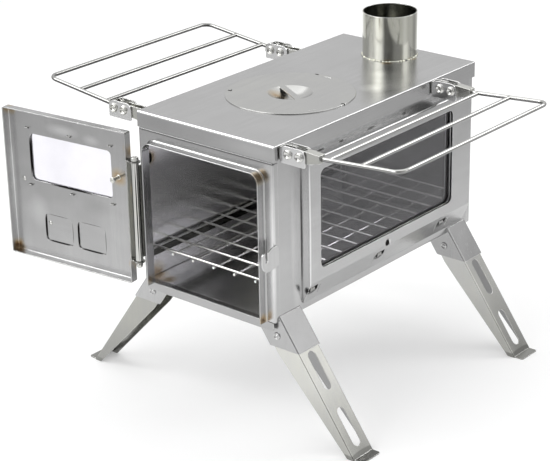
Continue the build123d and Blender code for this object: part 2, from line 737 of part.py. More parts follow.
def hinge_nut():
    """A ball nut under the lower ear, flattened where it bears on the ear."""
    r = ROD_NUT_R
    ball = Pos(-HINGE_X, -HINGE_Y, EAR_LOW + ROD_NUT_SINK - r) * Sphere(r)
    cut = Pos(-HINGE_X, -HINGE_Y, EAR_LOW + r) * Box(4 * r, 4 * r, 2 * r)
    hole = along_z(Pos(-HINGE_X, -HINGE_Y) * Circle(ROD_R + RUN_FIT), EAR_LOW - r - RUN_FIT, EAR_LOW + OVER)
    return ball - cut - hole


def damper_span():
    """First and last X of the damper plate over the closed vents."""
    first = door_x(VENT_FROM_HINGE) - DAMPER_LAP
    last = door_x(VENT_FROM_HINGE + (VENTS - 1) * VENT_PITCH + VENT_W) + DAMPER_LAP
    return first, last


def air_damper():
    x0, x1 = damper_span()
    y1 = DOOR_OUTER_Y - DAMPER_GAP
    plate = along_y(rounded(x0, x1, door_z(DAMPER_LOW), door_z(DAMPER_HIGH), DAMPER_R), y1 - SHEET, y1)
    knob_x = door_x(KNOB_FROM_HINGE)
    return plate - cylinder_y(knob_x, door_z(VENT_LOW + KNOB_RISE), y1 - SHEET - OVER, y1 + OVER, RIVET_R)


def damper_knob():
    """The knob outside, riveted through the damper plate with a small head in the vent."""
    x = door_x(KNOB_FROM_HINGE)
    z = door_z(VENT_LOW + KNOB_RISE)
    y1 = DOOR_OUTER_Y - DAMPER_GAP
    shank = cylinder_y(x, z, y1 - SHEET - KNOB_OUT, y1, RIVET_R - RUN_FIT)
    grip = cylinder_y(x, z, y1 - SHEET - KNOB_OUT, y1 - SHEET, KNOB_R)
    tail = facing(x, y1, z, (1, 0, 0), (0, 1, 0)) * dome(KNOB_TAIL_R, KNOB_TAIL_H)
    return shank + tail + fillet(grip.edges().group_by(Axis.Y)[0], KNOB_ROUND)


def damper_rails():
    """Z-shaped strips above and below the damper plate."""
    x0, x1 = damper_span()
    x0 = max(x0 - DAMPER_TRAVEL, -DOOR_HALF + RAIL_INSET)
    rails = []
    outer = DOOR_OUTER_Y - 2 * DAMPER_GAP - SHEET
    for edge, way in ((door_z(DAMPER_LOW), -1), (door_z(DAMPER_HIGH), 1)):
        step = edge + way * DAMPER_GAP
        end = edge + way * RAIL_W
        lip = edge - way * RAIL_LAP
        rails.append(block(x0, x1, outer, DOOR_OUTER_Y, min(step, end), max(step, end))
                     + block(x0, x1, outer - SHEET, outer, min(lip, end), max(lip, end)))
    return rails


def latch_bar():
    """The latch bar, hanging down from its pin on the free side of the door."""
    x = door_x(LATCH_END)
    z = door_z(LATCH_HIGH)
    y1 = DOOR_OUTER_Y - LATCH_GAP
    y0 = y1 - LATCH_BAR_T
    half = LATCH_BAR_W / 2
    bar = along_y(rounded(x - half, x + half, z - LATCH_REACH, z + half, half - RUN_FIT), y0, y1)
    grip = cylinder_y(x, z - LATCH_GRIP, y0 - KNOB_OUT, y0, KNOB_R)
    grip = fillet(grip.edges().group_by(Axis.Y)[0], KNOB_ROUND)
    return bar + grip - cylinder_y(x, z, y0 - OVER, y1 + OVER, LATCH_PIN_R + RUN_FIT)


def latch_pin():
    """The shouldered pin that the latch bar hangs on."""
    x = door_x(LATCH_END)
    z = door_z(LATCH_HIGH)
    washer = cylinder_y(x, z, DOOR_OUTER_Y - LATCH_GAP + LATCH_PLAY, DOOR_OUTER_Y, LATCH_HEAD_R)
    out = DOOR_OUTER_Y - LATCH_GAP - LATCH_BAR_T - LATCH_PLAY
    shank = cylinder_y(x, z, out, DOOR_INNER_Y, LATCH_PIN_R)
    head = facing(x, out, z, (1, 0, 0), (0, -1, 0)) * dome(LATCH_HEAD_R, LATCH_HEAD_H)
    tail = facing(x, DOOR_INNER_Y, z, (1, 0, 0), (0, 1, 0)) * dome(LATCH_PIN_R + TAIL_LAP, TAIL_H)
    return washer + shank + head + tail


# Grate

def grate_ys():
    last = BOX_L - GRATE_Y0
    return [GRATE_Y0 + (last - GRATE_Y0) * n / (GRATE_CROSS - 1) for n in range(GRATE_CROSS)]


def grate():
    """Cross wires welded on long wires."""
    ys = grate_ys()
    long_z = GRATE_Z - 2 * GRATE_WIRE_R + GRATE_SINK
    reach = GRATE_HALF_W - 2 * GRATE_WIRE_R
    wires = None
    for n in range(GRATE_LONG):
        x = -reach + 2 * reach * n / (GRATE_LONG - 1)
        wire = cylinder_y(x, long_z, ys[0] - GRATE_STUB, ys[-1] + GRATE_STUB, GRATE_WIRE_R)
        wires = wire if wires is None else wires + wire
    for y in ys:
        wires += along_x(Pos(y, GRATE_Z) * Circle(GRATE_WIRE_R), -GRATE_HALF_W, GRATE_HALF_W)
    return wires


def ledge(side):
    """An angle along one wall, under the ends of the grate."""
    top = GRATE_Z - GRATE_WIRE_R - LEDGE_PLAY
    wall = HALF_W - SHEET
    x0 = wall - LEDGE_LIP
    y0 = PANEL_RETURN + LEDGE_INSET
    y1 = BOX_L - PANEL_RETURN - LEDGE_INSET
    shape = block(x0, wall, y0, y1, top - SHEET, top)
    shape += block(wall - SHEET, wall, y0, y1, top - LEDGE_DROP, top)
    return on_side(shape, side)


# Side racks, drawn on the right and mirrored for the left

def pivot_a(side):
    return FLANGE_X + EAR_REACH[side]


def pivot_b(side):
    return pivot_a(side) + LINK_PITCH


def rack_ear(side, y):
    """Two ears on a back plate, welded to the top plate's flange."""
    a = pivot_a(side)
    z = PIVOT_Z
    gap = EAR_HALF_GAP
    outer = gap + EAR_PLATE_T
    foot = FLANGE_X + EAR_PLATE_T
    heel = z - EAR_EYE_R - EAR_HEEL
    plate = outline((FLANGE_X, heel), (a, z - EAR_EYE_R), (a, z + EAR_EYE_R), (FLANGE_X, z + EAR_EYE_R))
    plate += Pos(a, z) * Circle(EAR_EYE_R)
    plate -= Pos(a, z) * Circle(RIVET_R + RUN_FIT)
    web = block(FLANGE_X, foot, y - outer, y + outer, heel, z + EAR_EYE_R)
    return along_y(plate, y - outer, y - gap) + along_y(plate, y + gap, y + outer) + web


def link_plates(side, y):
    a = pivot_a(side)
    b = pivot_b(side)
    z = PIVOT_Z
    inner = LINK_HALF - LINK_T
    x0 = a - LINK_INNER_END
    x1 = b + LINK_OUTER_END
    z0 = z - LINK_UNDER
    z1 = z + LINK_OVER
    shape = outline((x0, z0), (x1, z0), (x1, z1), (x0, z1))
    shape = round_corners(shape, LINK_TOP_R, (x0, z1), (x1, z1))
    shape = round_corners(shape, LINK_FOOT_R, (x0, z0), (x1, z0))
    for x in (a, b):
        shape -= Pos(x, z) * Circle(RIVET_R + RUN_FIT)
    return [along_y(shape, y - inner - LINK_T, y - inner), along_y(shape, y + inner, y + inner + LINK_T)]


def link_rivets(side, y):
    return [rivet_y(x, PIVOT_Z, y - LINK_HALF, y + LINK_HALF, RIVET_R, RIVET_HEAD_R, RIVET_HEAD_H)
            for x in (pivot_a(side), pivot_b(side))]


def tilt(shape, side):
    """Lifts a piece of the right-hand rack by the rack's slope at rest, about its pin."""
    b = pivot_b(side)
    return Pos(b, 0, PIVOT_Z) * Rot(0, -RACK_TILT[side], 0) * Pos(-b, 0, -PIVOT_Z) * shape


def rack_arm(side, y):
    """A tapered channel from the link's outer pin to the start of the wire."""
    b = pivot_b(side)
    z = PIVOT_Z
    end = b + ARM_REACH[side]
    gap = EAR_HALF_GAP
    outer = gap + EAR_PLATE_T
    shoulder = b + ARM_START
    web_start = b + RIVET_HEAD_R
    plate = outline((b, z - EAR_EYE_R), (b, z + EAR_EYE_R), (shoulder, z + ARM_SHOULDER_H),
                    (end, z + ARM_NOSE_H), (end, z - ARM_NOSE_H), (shoulder, z - ARM_SHOULDER_H))
    plate += Pos(b, z) * Circle(EAR_EYE_R)
    plate -= Pos(b, z) * Circle(RIVET_R + RUN_FIT)
    arm = along_y(plate, y - outer, y - gap) + along_y(plate, y + gap, y + outer)
    slope = (ARM_SHOULDER_H - ARM_NOSE_H) / (end - shoulder)
    top0 = z + ARM_SHOULDER_H - slope * (web_start - shoulder)
    top1 = z + ARM_NOSE_H
    web = outline((web_start, top0), (end, top1), (end, top1 - EAR_PLATE_T), (web_start, top0 - EAR_PLATE_T))
    arm += along_y(web, y - gap - WELD, y + gap + WELD)
    nose = block(end - ARM_END_T, end, y - gap - WELD, y + gap + WELD, z - ARM_NOSE_H, top1 - SIDE_PLAY)
    socket = along_x(Pos(y, z) * Circle(RACK_WIRE_R + RUN_FIT), end - ARM_NOSE_H, end + ARM_NOSE_H)
    return tilt(arm + nose - socket, side)


def rack_wires(side):
    """The outer frame wire with two long wires welded between its ends."""
    b = pivot_b(side)
    z = PIVOT_Z
    start = b + ARM_REACH[side] - ARM_END_T - WIRE_SET_IN
    slope = math.cos(math.radians(RACK_TILT[side]))
    places = [b + (FLANGE_X + s * slope - b) / slope for s in (RACK_INNER, RACK_MIDDLE, RACK_OUTER)]
    path = FilletPolyline((start, RACK_Y0, z), (places[2], RACK_Y0, z),
                          (places[2], RACK_Y1, z), (start, RACK_Y1, z), radius=RACK_CORNER)
    section = Plane(origin=(start, RACK_Y0, z), x_dir=(0, 1, 0), z_dir=(1, 0, 0)) * Circle(RACK_WIRE_R)
    frame = sweep(section, path)
    for x in places[:2]:
        frame += cylinder_y(x, z, RACK_Y0, RACK_Y1, RACK_WIRE_R)
    return tilt(frame, side)


# Legs, drawn on the right and mirrored for the left

LEG_ACROSS = (math.cos(math.radians(LEG_TILT)), math.sin(math.radians(LEG_TILT)))
LEG_ALONG = (math.sin(math.radians(LEG_TILT)), -math.cos(math.radians(LEG_TILT)))


def leg_point(station, out):
    """(X, Z) at a distance along the leg below its pin and a distance outwards from the pin."""
    return (PIN_X + station * LEG_ALONG[0] + out * LEG_ACROSS[0],
            PIN_Z + station * LEG_ALONG[1] + out * LEG_ACROSS[1])


def leg_area(station0, station1, out0, out1):
    """A four-cornered area in the leg's own directions, drawn in (X, Z)."""
    return outline(leg_point(station0, out0), leg_point(station1, out0),
                   leg_point(station1, out1), leg_point(station0, out1))


def station_at(z, out):
    """Distance below the pin at which the line at this offset reaches a height."""
    return (PIN_Z + out * LEG_ACROSS[1] - z) / -LEG_ALONG[1]


def leg(side, end):
    """A channel leg: slotted web outside, tapered flanges, and a foot flap on the ground."""
    mid = LEG_Y[end]
    half = LEG_W[side] / 2
    y0 = mid - half
    y1 = mid + half
    web_end = station_at(GROUND_Z, LEG_OUT)
    inner_top = LEG_OUT - LEG_DEPTH_TOP
    inner_foot = LEG_OUT - LEG_DEPTH_FOOT
    foot_end = station_at(GROUND_Z, inner_foot)
    profile = outline(leg_point(-LEG_TOP_STATION, LEG_OUT), leg_point(web_end, LEG_OUT),
                      leg_point(foot_end, inner_foot), leg_point(LEG_KNEE, inner_top),
                      leg_point(0, inner_top), leg_point(-LEG_EYE_R, 0), leg_point(-LEG_EYE_R, LEG_SHOULDER))
    solid = along_y(profile, y0, y1)
    outer_line = [e for e in solid.edges() if abs(e.length - (web_end + LEG_TOP_STATION)) < 0.01]
    solid = fillet(outer_line, LEG_BEND)
    channel = solid - along_y(leg_area(-FAR, web_end + FAR, LEG_OUT - SHEET, -FAR), y0 + SHEET, y1 - SHEET)
    channel -= along_y(leg_area(-FAR, -LEG_TOP_STATION, FAR, -FAR), y0 + SHEET, y1 - SHEET)
    web_x, web_z = leg_point(0, LEG_OUT - 2 * SHEET)
    web_plane = Plane(origin=(web_x, mid, web_z), x_dir=(LEG_ALONG[0], 0, LEG_ALONG[1]),
                      z_dir=(LEG_ACROSS[0], 0, LEG_ACROSS[1]))
    for number in range(SLOTS):
        centre = SLOT_FIRST + SLOT_LENGTH / 2 + number * SLOT_STEP
        channel -= extrude(web_plane * Pos(centre, 0) * SlotOverall(SLOT_LENGTH, SLOT_W), 3 * SHEET)
    foot_x, foot_z = leg_point(web_end, LEG_OUT)
    flap = rounded(foot_x - FOOT_ROOT, foot_x + FOOT_FLAP, y0 + FOOT_INSET, y1 - FOOT_INSET, FOOT_R)
    channel += along_z(flap, GROUND_Z, GROUND_Z + SHEET)
    channel -= cylinder_y(PIN_X, PIN_Z, y0 - OVER, y1 + OVER, LEG_PIN_R + RUN_FIT)
    return on_side(channel, side)


def leg_bracket(side, end):
    """The fixed bracket that the leg turns in; its sloping plate stops the opened leg."""
    mid = LEG_Y[end]
    half = LEG_W[side] / 2 + BRACKET_CLEAR + SHEET
    y0 = mid - half
    y1 = mid + half
    out = LEG_OUT + BRACKET_CLEAR + SHEET
    inner = out - BRACKET_DEPTH
    top_station = station_at(BRACKET_HIGH, out)
    low_out = station_at(BRACKET_LOW, out)
    low_in = station_at(BRACKET_LOW, inner)
    top_in = station_at(0, inner)
    profile = outline(leg_point(top_station, out), leg_point(low_out, out), leg_point(low_in, inner),
                      leg_point(top_in, inner), (HALF_W - OVER, 0), (HALF_W - OVER, BRACKET_HIGH))
    solid = along_y(profile, y0, y1)
    outer_line = [e for e in solid.edges() if abs(e.length - (low_out - top_station)) < 0.01]
    solid = fillet(outer_line, BRACKET_BEND)
    solid -= along_y(leg_area(-FAR, low_out + FAR, out - SHEET, -FAR), y0 + SHEET, y1 - SHEET)
    solid -= block(0, HALF_W, y0 - OVER, y1 + OVER, 0, FAR)
    solid -= cylinder_y(PIN_X, PIN_Z, y0 - OVER, y1 + OVER, LEG_PIN_R + RUN_FIT)
    return on_side(solid, side)


def leg_pins(side, end):
    """A short rivet through each side of the bracket and the leg."""
    mid = LEG_Y[end]
    out = LEG_W[side] / 2 + BRACKET_CLEAR + SHEET
    reach = BRACKET_CLEAR + 2 * SHEET + LEG_PIN_PLAY
    pins = []
    for way in (-1, 1):
        face = mid + way * out
        inside = face - way * reach
        pin = cylinder_y(PIN_X, PIN_Z, min(face, inside), max(face, inside), LEG_PIN_R)
        pin += facing(PIN_X, face, PIN_Z, (1, 0, 0), (0, way, 0)) * dome(LEG_PIN_HEAD_R, LEG_PIN_HEAD_H)
        pin += facing(PIN_X, inside, PIN_Z, (1, 0, 0), (0, -way, 0)) * dome(LEG_PIN_R + TAIL_LAP, TAIL_H)
        pins.append(on_side(pin, side))
    return pins


# The assembly: node name to a list of shapes

parts["firebox_shell"] = [firebox_shell()]
parts["front_panel"] = [front_panel()]
parts["door_collar"] = [door_collar()]
parts["front_sill"] = [sill_strip()]
parts["back_panel"] = [back_panel()]
parts["top_plate"] = [top_plate()]
parts["cook_lid"] = [lid()]
parts["flue_collar"] = [flue_collar()]
parts["window_gasket"] = [window_gasket()]
parts["window_glass"] = [window_glass()]
parts["window_retainer"] = [window_retainer()]
parts["window_frame"] = [window_frame()]
parts["window_lugs"] = window_lugs()
parts["window_spacers"] = window_spacers()
parts["door_keeper"] = [door_keeper()]
parts["door_hinge_barrel"] = [hinge_barrel()]
parts["grate"] = [grate()]
parts["grate_ledge_right"] = [ledge("right")]
parts["grate_ledge_left"] = [ledge("left")]

door_pieces = {
    "door_panel": [door_panel()],
    "door_glass": [door_glass()],
    "door_glass_frame": [door_glass_frame()],
    "door_glass_lugs": door_glass_lugs(),
    "door_stud": [door_stud()],
    "door_hinge_bracket": [hinge_bracket()],
    "door_hinge_rod": [hinge_rod()],
    "door_hinge_nut": [hinge_nut()],
    "air_damper": [air_damper()],
    "damper_knob": [damper_knob()],
    "damper_rails": damper_rails(),
    "latch_bar": [latch_bar()],
    "latch_pin": [latch_pin()],
}
for name, shapes in door_pieces.items():
    parts[name] = [swing(shape) for shape in shapes]

for side in ("right", "left"):
    hinge_ys = (RACK_Y0, RACK_Y1)
    parts["rack_ears_" + side] = [on_side(rack_ear(side, y), side) for y in hinge_ys]
    parts["rack_links_" + side] = [on_side(p, side) for y in hinge_ys for p in link_plates(side, y)]
    parts["rack_rivets_" + side] = [on_side(r, side) for y in hinge_ys for r in link_rivets(side, y)]
    parts["rack_arms_" + side] = [on_side(rack_arm(side, y), side) for y in hinge_ys]
    parts["rack_wires_" + side] = [on_side(rack_wires(side), side)]
    for end in ("front", "rear"):
        place = "_" + end + "_" + side
        parts["leg" + place] = [leg(side, end)]
        parts["leg_bracket" + place] = [leg_bracket(side, end)]
        parts["leg_pins" + place] = leg_pins(side, end)

# The origin goes under the middle of the stove's bounding box
every = Compound(children=[s for shapes in parts.values() for shape in shapes for s in shape.solids()])
bounds = every.bounding_box()
SHIFT = Pos(-(bounds.min.X + bounds.max.X) / 2, -(bounds.min.Y + bounds.max.Y) / 2, -bounds.min.Z)

os.makedirs("parts", exist_ok=True)
for name, shapes in parts.items():
    solids = [SHIFT * s for shape in shapes for s in shape.solids()]
    export_step(Compound(children=solids) if len(solids) > 1 else solids[0], "parts/" + name + ".step")
print("shift", SHIFT.position)
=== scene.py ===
import math

import bmesh
import bpy
from mathutils import Matrix, Vector


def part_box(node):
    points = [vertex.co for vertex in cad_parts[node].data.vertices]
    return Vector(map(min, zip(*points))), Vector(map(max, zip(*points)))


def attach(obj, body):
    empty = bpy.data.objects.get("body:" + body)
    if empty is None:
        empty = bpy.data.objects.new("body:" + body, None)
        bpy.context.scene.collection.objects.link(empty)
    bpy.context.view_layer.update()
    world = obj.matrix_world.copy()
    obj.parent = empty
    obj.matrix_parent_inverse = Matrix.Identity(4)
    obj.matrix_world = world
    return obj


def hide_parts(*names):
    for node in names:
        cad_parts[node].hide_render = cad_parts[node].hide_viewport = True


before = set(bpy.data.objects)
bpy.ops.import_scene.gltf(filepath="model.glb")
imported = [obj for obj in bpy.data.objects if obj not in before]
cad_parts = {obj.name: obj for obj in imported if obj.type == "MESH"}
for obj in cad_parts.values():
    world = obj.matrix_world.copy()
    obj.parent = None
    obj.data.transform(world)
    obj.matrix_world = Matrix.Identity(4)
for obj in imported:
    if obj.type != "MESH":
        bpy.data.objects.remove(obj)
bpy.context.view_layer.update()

MM = 0.001

# Where places are measured from: the firebox's middle, its front face and its underside
shell_low, shell_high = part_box("firebox_shell")
panel_low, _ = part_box("front_panel")
ORIGIN = Vector(((shell_low.x + shell_high.x) / 2, panel_low.y, shell_low.z))

# Sizes of the stove in millimetres, as in the part
HALF_W = 102.0
BOX_L = 388.5
WALL_H = 213.3
PLATE_Z = 214.8
FLANGE_Z = 195.3
FRAME_X = 115.0
FLUE_Y = 352.0
FLUE_R = 34.4
SHEET = 1.2
LEG_YS = {"front": 25.2, "rear": 356.5}
SIDES = ("right", "left")
ENDS = ("front", "rear")
UP = (0, 0, 1)
TO_FRONT = (0, -1, 0)


def at(x, y, z):
    """A place in the firebox frame, in millimetres, as a point of the scene."""
    return ORIGIN + Vector((x, y, z)) * MM


def on_side(x, side):
    return x if side == "right" else -x


def around(steps):
    """The angles of a full turn in equal steps."""
    return [2 * math.pi * i / steps for i in range(steps)]


# The door: its places when shut, and the turn about the hinge that opens it

DOOR_OPEN = math.radians(-173.9)
DOOR_HALF = 94.8
DOOR_LOW = -4.8
DOOR_INNER_Y = -11.6
HINGE = (-105.2, -5.0)
DOOR_IN = Vector((-math.sin(DOOR_OPEN), math.cos(DOOR_OPEN), 0))


def on_door(along, high, out=0.0):
    """A place on the open door's inner face: from the hinge edge, from its foot, and out of it."""
    x = along - DOOR_HALF - HINGE[0]
    y = DOOR_INNER_Y + out - HINGE[1]
    cos, sin = math.cos(DOOR_OPEN), math.sin(DOOR_OPEN)
    return (HINGE[0] + x * cos - y * sin, HINGE[1] + x * sin + y * cos, DOOR_LOW + high)


# Camera

FRAME_W = 550
FOCAL_PIXELS = 1812.3
SENSOR_W = 36.0
CLIP = (0.05, 50)
CAMERA_PLACE = (1304.8, -1415.9, 890.5)
CAMERA_AZIMUTH = math.radians(40.31)
CAMERA_ELEVATION = math.radians(22.63)
CAMERA_ROLL = math.radians(-1.09)


def make_camera():
    data = bpy.data.cameras.new("camera")
    data.sensor_width = SENSOR_W
    data.lens = FOCAL_PIXELS * SENSOR_W / FRAME_W
    data.clip_start, data.clip_end = CLIP
    camera = bpy.data.objects.new("camera", data)
    bpy.context.scene.collection.objects.link(camera)
    az, el = CAMERA_AZIMUTH, CAMERA_ELEVATION
    back = Vector((math.sin(az) * math.cos(el), -math.cos(az) * math.cos(el), math.sin(el)))
    right = Vector((math.cos(az), math.sin(az), 0))
    turn = Matrix((right, back.cross(right), back)).transposed().to_4x4()
    roll = Matrix.Rotation(CAMERA_ROLL, 4, "Z")
    camera.matrix_world = Matrix.Translation(at(*CAMERA_PLACE)) @ turn @ roll
    bpy.context.scene.camera = camera


# Helpers for the materials

BEVEL_SAMPLES = 6


def colour_of(tone, red=1.0, green=1.0, blue=1.0):
    """A tone as a colour, by the share of it in each channel."""
    return (tone * red, tone * green, tone * blue)


class Nodes:
    """A short way to add nodes to a tree."""

    def __init__(self, tree):
        self.tree = tree

    def add(self, kind, **settings):
        node = self.tree.nodes.new(kind)
        for key, value in settings.items():
            setattr(node, key, value)
        return node

    def link(self, output, target):
        self.tree.links.new(output, target)

    def feed(self, socket, value):
        """Puts a number, a tuple or another node's output into a socket."""
        if isinstance(value, (int, float)):
            socket.default_value = value
        elif isinstance(value, tuple):
            socket.default_value = (*value, 1) if len(socket.default_value) == 4 else value
        else:
            self.link(value, socket)

    def ramp(self, value, stops):
        """A colour for each value, from stops of (value, colour)."""
        node = self.add("ShaderNodeValToRGB")
        elements = node.color_ramp.elements
        while len(elements) < len(stops):
            elements.new(0.5)
        for element, (position, colour) in zip(elements, stops):
            element.position = position
            element.color = (*colour, 1)
        self.link(value, node.inputs["Fac"])
        return node.outputs["Color"]

    def span(self, value, low, high, new_low=0.0, new_high=1.0):
        """Turns the values from low to high into new ones, and holds the rest at the ends."""
        node = self.add("ShaderNodeMapRange")
        node.inputs["From Min"].default_value = low
        node.inputs["From Max"].default_value = high
        self.feed(node.inputs["To Min"], new_low)
        self.feed(node.inputs["To Max"], new_high)
        self.link(value, node.inputs["Value"])
        return node.outputs["Result"]

    def math(self, operation, first, second=0.0):
        node = self.add("ShaderNodeMath", operation=operation)
        self.feed(node.inputs[0], first)
        self.feed(node.inputs[1], second)
        return node.outputs["Value"]

    def dot(self, first, second):
        node = self.add("ShaderNodeVectorMath", operation="DOT_PRODUCT")
        self.link(first, node.inputs[0])
        self.feed(node.inputs[1], second)
        return node.outputs["Value"]

    def any_of(self, values):
        total = values[0]
        for value in values[1:]:
            total = self.math("MAXIMUM", total, value)
        return total


class Surface(Nodes):
    """A new material whose patterns follow places on the object."""

    def __init__(self, name):
        self.material = bpy.data.materials.new(name)
        self.material.use_nodes = True
        super().__init__(self.material.node_tree)
        self.shader = self.tree.nodes["Principled BSDF"]
        self.place = self.add("ShaderNodeTexCoord").outputs["Object"]

    def dress(self, inputs):
        """Sets inputs of the shader, by name."""
        for name, value in inputs.items():
            self.feed(self.shader.inputs[name], value)

    def noise(self, scale, detail=3.0, stretch=(1, 1, 1)):
        mapping = self.add("ShaderNodeMapping")
        mapping.inputs["Scale"].default_value = stretch
        self.link(self.place, mapping.inputs["Vector"])
        node = self.add("ShaderNodeTexNoise")
        node.inputs["Scale"].default_value = scale
        node.inputs["Detail"].default_value = detail
        self.link(mapping.outputs["Vector"], node.inputs["Vector"])
        return node.outputs["Fac"]

    def mix(self, factor, first, second):
        node = self.add("ShaderNodeMix", data_type="RGBA")
        self.feed(node.inputs["Factor"], factor)
        first_socket, second_socket = [s for s in node.inputs if s.type == "RGBA"]
        self.feed(first_socket, first)
        self.feed(second_socket, second)
        return next(s for s in node.outputs if s.type == "RGBA")

    def grey(self, value):
        node = self.add("ShaderNodeCombineColor")
        for name in ("Red", "Green", "Blue"):
            self.link(value, node.inputs[name])
        return node.outputs["Color"]

    def from_spot(self, spot, radii):
        """The way from a firebox place, in units of the radii."""
        centre = at(*spot)
        scale = [1 / (r * MM) for r in radii]
        mapping = self.add("ShaderNodeMapping")
        mapping.inputs["Scale"].default_value = scale
        mapping.inputs["Location"].default_value = [-c * s for c, s in zip(centre, scale)]
        self.link(self.place, mapping.inputs["Vector"])
        return mapping.outputs["Vector"]

    def spot(self, spot, radii, core=0.0):
        """1 at a place, fading to nothing at the radii; solid inside the core."""
        length = self.add("ShaderNodeVectorMath", operation="LENGTH")
        self.link(self.from_spot(spot, radii), length.inputs[0])
        return self.span(length.outputs["Value"], 1.0, core)

    def inside_box(self, low, high, blur=0.004):
        """1 inside a box given in the firebox frame."""
        centre = [(a + b) / 2 for a, b in zip(low, high)]
        half = [(b - a) / 2 for a, b in zip(low, high)]
        size = self.add("ShaderNodeVectorMath", operation="ABSOLUTE")
        self.link(self.from_spot(centre, half), size.inputs[0])
        parts = self.add("ShaderNodeSeparateXYZ")
        self.link(size.outputs["Vector"], parts.inputs["Vector"])
        return self.span(self.any_of([parts.outputs[k] for k in "XYZ"]), 1.0, 1.0 - blur)

    def bump(self, height, strength, distance, normal=None):
        node = self.add("ShaderNodeBump")
        node.inputs["Strength"].default_value = strength
        node.inputs["Distance"].default_value = distance
        self.link(height, node.inputs["Height"])
        if normal is not None:
            self.link(normal, node.inputs["Normal"])
        return node.outputs["Normal"]

    def soft_normal(self, radius):
        """Rounds the look of sharp sheet edges a little, so that they catch the light."""
        node = self.add("ShaderNodeBevel", samples=BEVEL_SAMPLES)
        node.inputs["Radius"].default_value = radius * MM
        return node.outputs["Normal"]

    def flat_normal(self):
        return self.add("ShaderNodeNewGeometry").outputs["Normal"]

    def facing(self, way, low, high):
        """1 where the surface faces a way, between two cosines."""
        return self.span(self.dot(self.flat_normal(), way), low, high)


# Studio: a pale floor that fades to grey outside the view, a soft sky, and soft lamps

BEHIND = (-math.sin(CAMERA_AZIMUTH), math.cos(CAMERA_AZIMUTH), 0)
ACROSS = (math.cos(CAMERA_AZIMUTH), math.sin(CAMERA_AZIMUTH), 0)

# The floor: its tones near and far, its own glow, and where it fades, in metres
FLOOR_SIZE = 40.0
FLOOR_NEAR = 0.66
FLOOR_FAR = 0.36
FLOOR_GLOW = 0.45
FLOOR_ROUGH = 0.9
FADE_ACROSS = (0.5, 1.1)
FADE_IN_FRONT = (-0.7, -1.3)

# The sky: its tone by height, and its strength from left to right on the camera's side and
# on the far side, with the band where the one turns into the other
SKY = ((0.0, 0.45), (0.12, 0.60), (0.28, 0.90), (0.5, 0.95), (0.75, 1.25), (0.9, 1.0), (1.0, 0.9))
SKY_NEAR = ((0.0, 0.9), (0.04, 1.3), (0.08, 2.6), (0.21, 2.6), (0.29, 0.32), (0.53, 0.22),
            (0.64, 0.6), (0.86, 0.7), (0.91, 2.0), (0.96, 2.0), (1.0, 0.5))
SKY_FAR = ((0.0, 1.0), (0.75, 1.0), (0.95, 0.55))
NEAR_TO_FAR = (-0.25, 0.1)

# Square lamps: name, place, the place they face, side in metres, brightness
LAMPS = (("overhead", (-300, 100, 2300), (0, 150, 60), 3.0, 0.75),
         ("front_left", (-1500, -900, 1500), (0, 150, 60), 0.7, 6.0),
         ("leg_glow", (887, 858, 392), (150, 25, -60), 0.35, 0.5),
         ("grate_glow", (1010, 1960, 1530), (50, 200, 40), 0.8, 5.0))


def make_floor():
    mesh = bpy.data.meshes.new("floor")
    half = FLOOR_SIZE / 2
    corners = [(-half, -half, 0), (half, -half, 0), (half, half, 0), (-half, half, 0)]
    mesh.from_pydata(corners, [], [(0, 1, 2, 3)])
    floor = bpy.data.objects.new("floor", mesh)
    bpy.context.scene.collection.objects.link(floor)
    m = Surface("floor_paint")
    sideways = m.math("ABSOLUTE", m.dot(m.place, ACROSS))
    front = m.span(m.dot(m.place, BEHIND), *FADE_IN_FRONT)
    fade = m.math("MAXIMUM", m.span(sideways, *FADE_ACROSS), front)
    shade = m.grey(m.span(fade, 0, 1, FLOOR_NEAR, FLOOR_FAR))
    m.dress({"Base Color": shade, "Emission Color": shade, "Emission Strength": FLOOR_GLOW,
             "Roughness": FLOOR_ROUGH, "Specular IOR Level": 0.0})
    mesh.materials.append(m.material)


def make_surround():
    """A sky that is pale behind the object and darker low down and on the camera's side."""
    world = bpy.data.worlds.new("studio")
    world.use_nodes = True
    m = Nodes(world.node_tree)
    background = m.tree.nodes["Background"]
    place = m.add("ShaderNodeTexCoord").outputs["Generated"]
    parts = m.add("ShaderNodeSeparateXYZ")
    m.link(place, parts.inputs["Vector"])
    sky, near, far = ([(spot, colour_of(tone)) for spot, tone in stops]
                      for stops in (SKY, SKY_NEAR, SKY_FAR))
    m.link(m.ramp(parts.outputs["Z"], sky), background.inputs["Color"])
    across = m.span(m.dot(place, ACROSS), -1.0, 1.0)
    behind = m.span(m.dot(place, BEHIND), *NEAR_TO_FAR)
    strength = m.span(behind, 0.0, 1.0, m.ramp(across, near), m.ramp(across, far))
    m.link(strength, background.inputs["Strength"])
    bpy.context.scene.world = world
    bpy.context.scene.view_settings.view_transform = "Standard"


def soft_lamp(name, place, target, side, brightness):
    """A square lamp that is as bright for each square metre as its brightness says."""
    data = bpy.data.lights.new(name, "AREA")
    data.size = side
    data.energy = brightness * math.pi * side * side
    lamp = bpy.data.objects.new(name, data)
    bpy.context.scene.collection.objects.link(lamp)
    lamp.location = at(*place)
    lamp.rotation_euler = (at(*target) - lamp.location).to_track_quat("-Z", "Y").to_euler()
    lamp.visible_camera = False


# Materials

# The way of the brushing, as a stretch of the noise
ALONG_X = (0.02, 1, 1)
ALONG_Y = (1, 0.02, 1)
ALONG_Z = (1, 1, 0.02)

# Noise scales: the larger, the finer
FINE_SCALE = 1500.0
STREAK_SCALE = 170.0
WAVE_SCALE = 13.0
GLINT_SCALE = 70.0
HEAT_SCALE = 85.0
SOOT_SCALE = 6.0
WIRE_SCALE = 55.0
SCRATCH_SCALE = 700.0
SMEAR_SCALE = 24.0
WEAVE_SCALE = 900.0

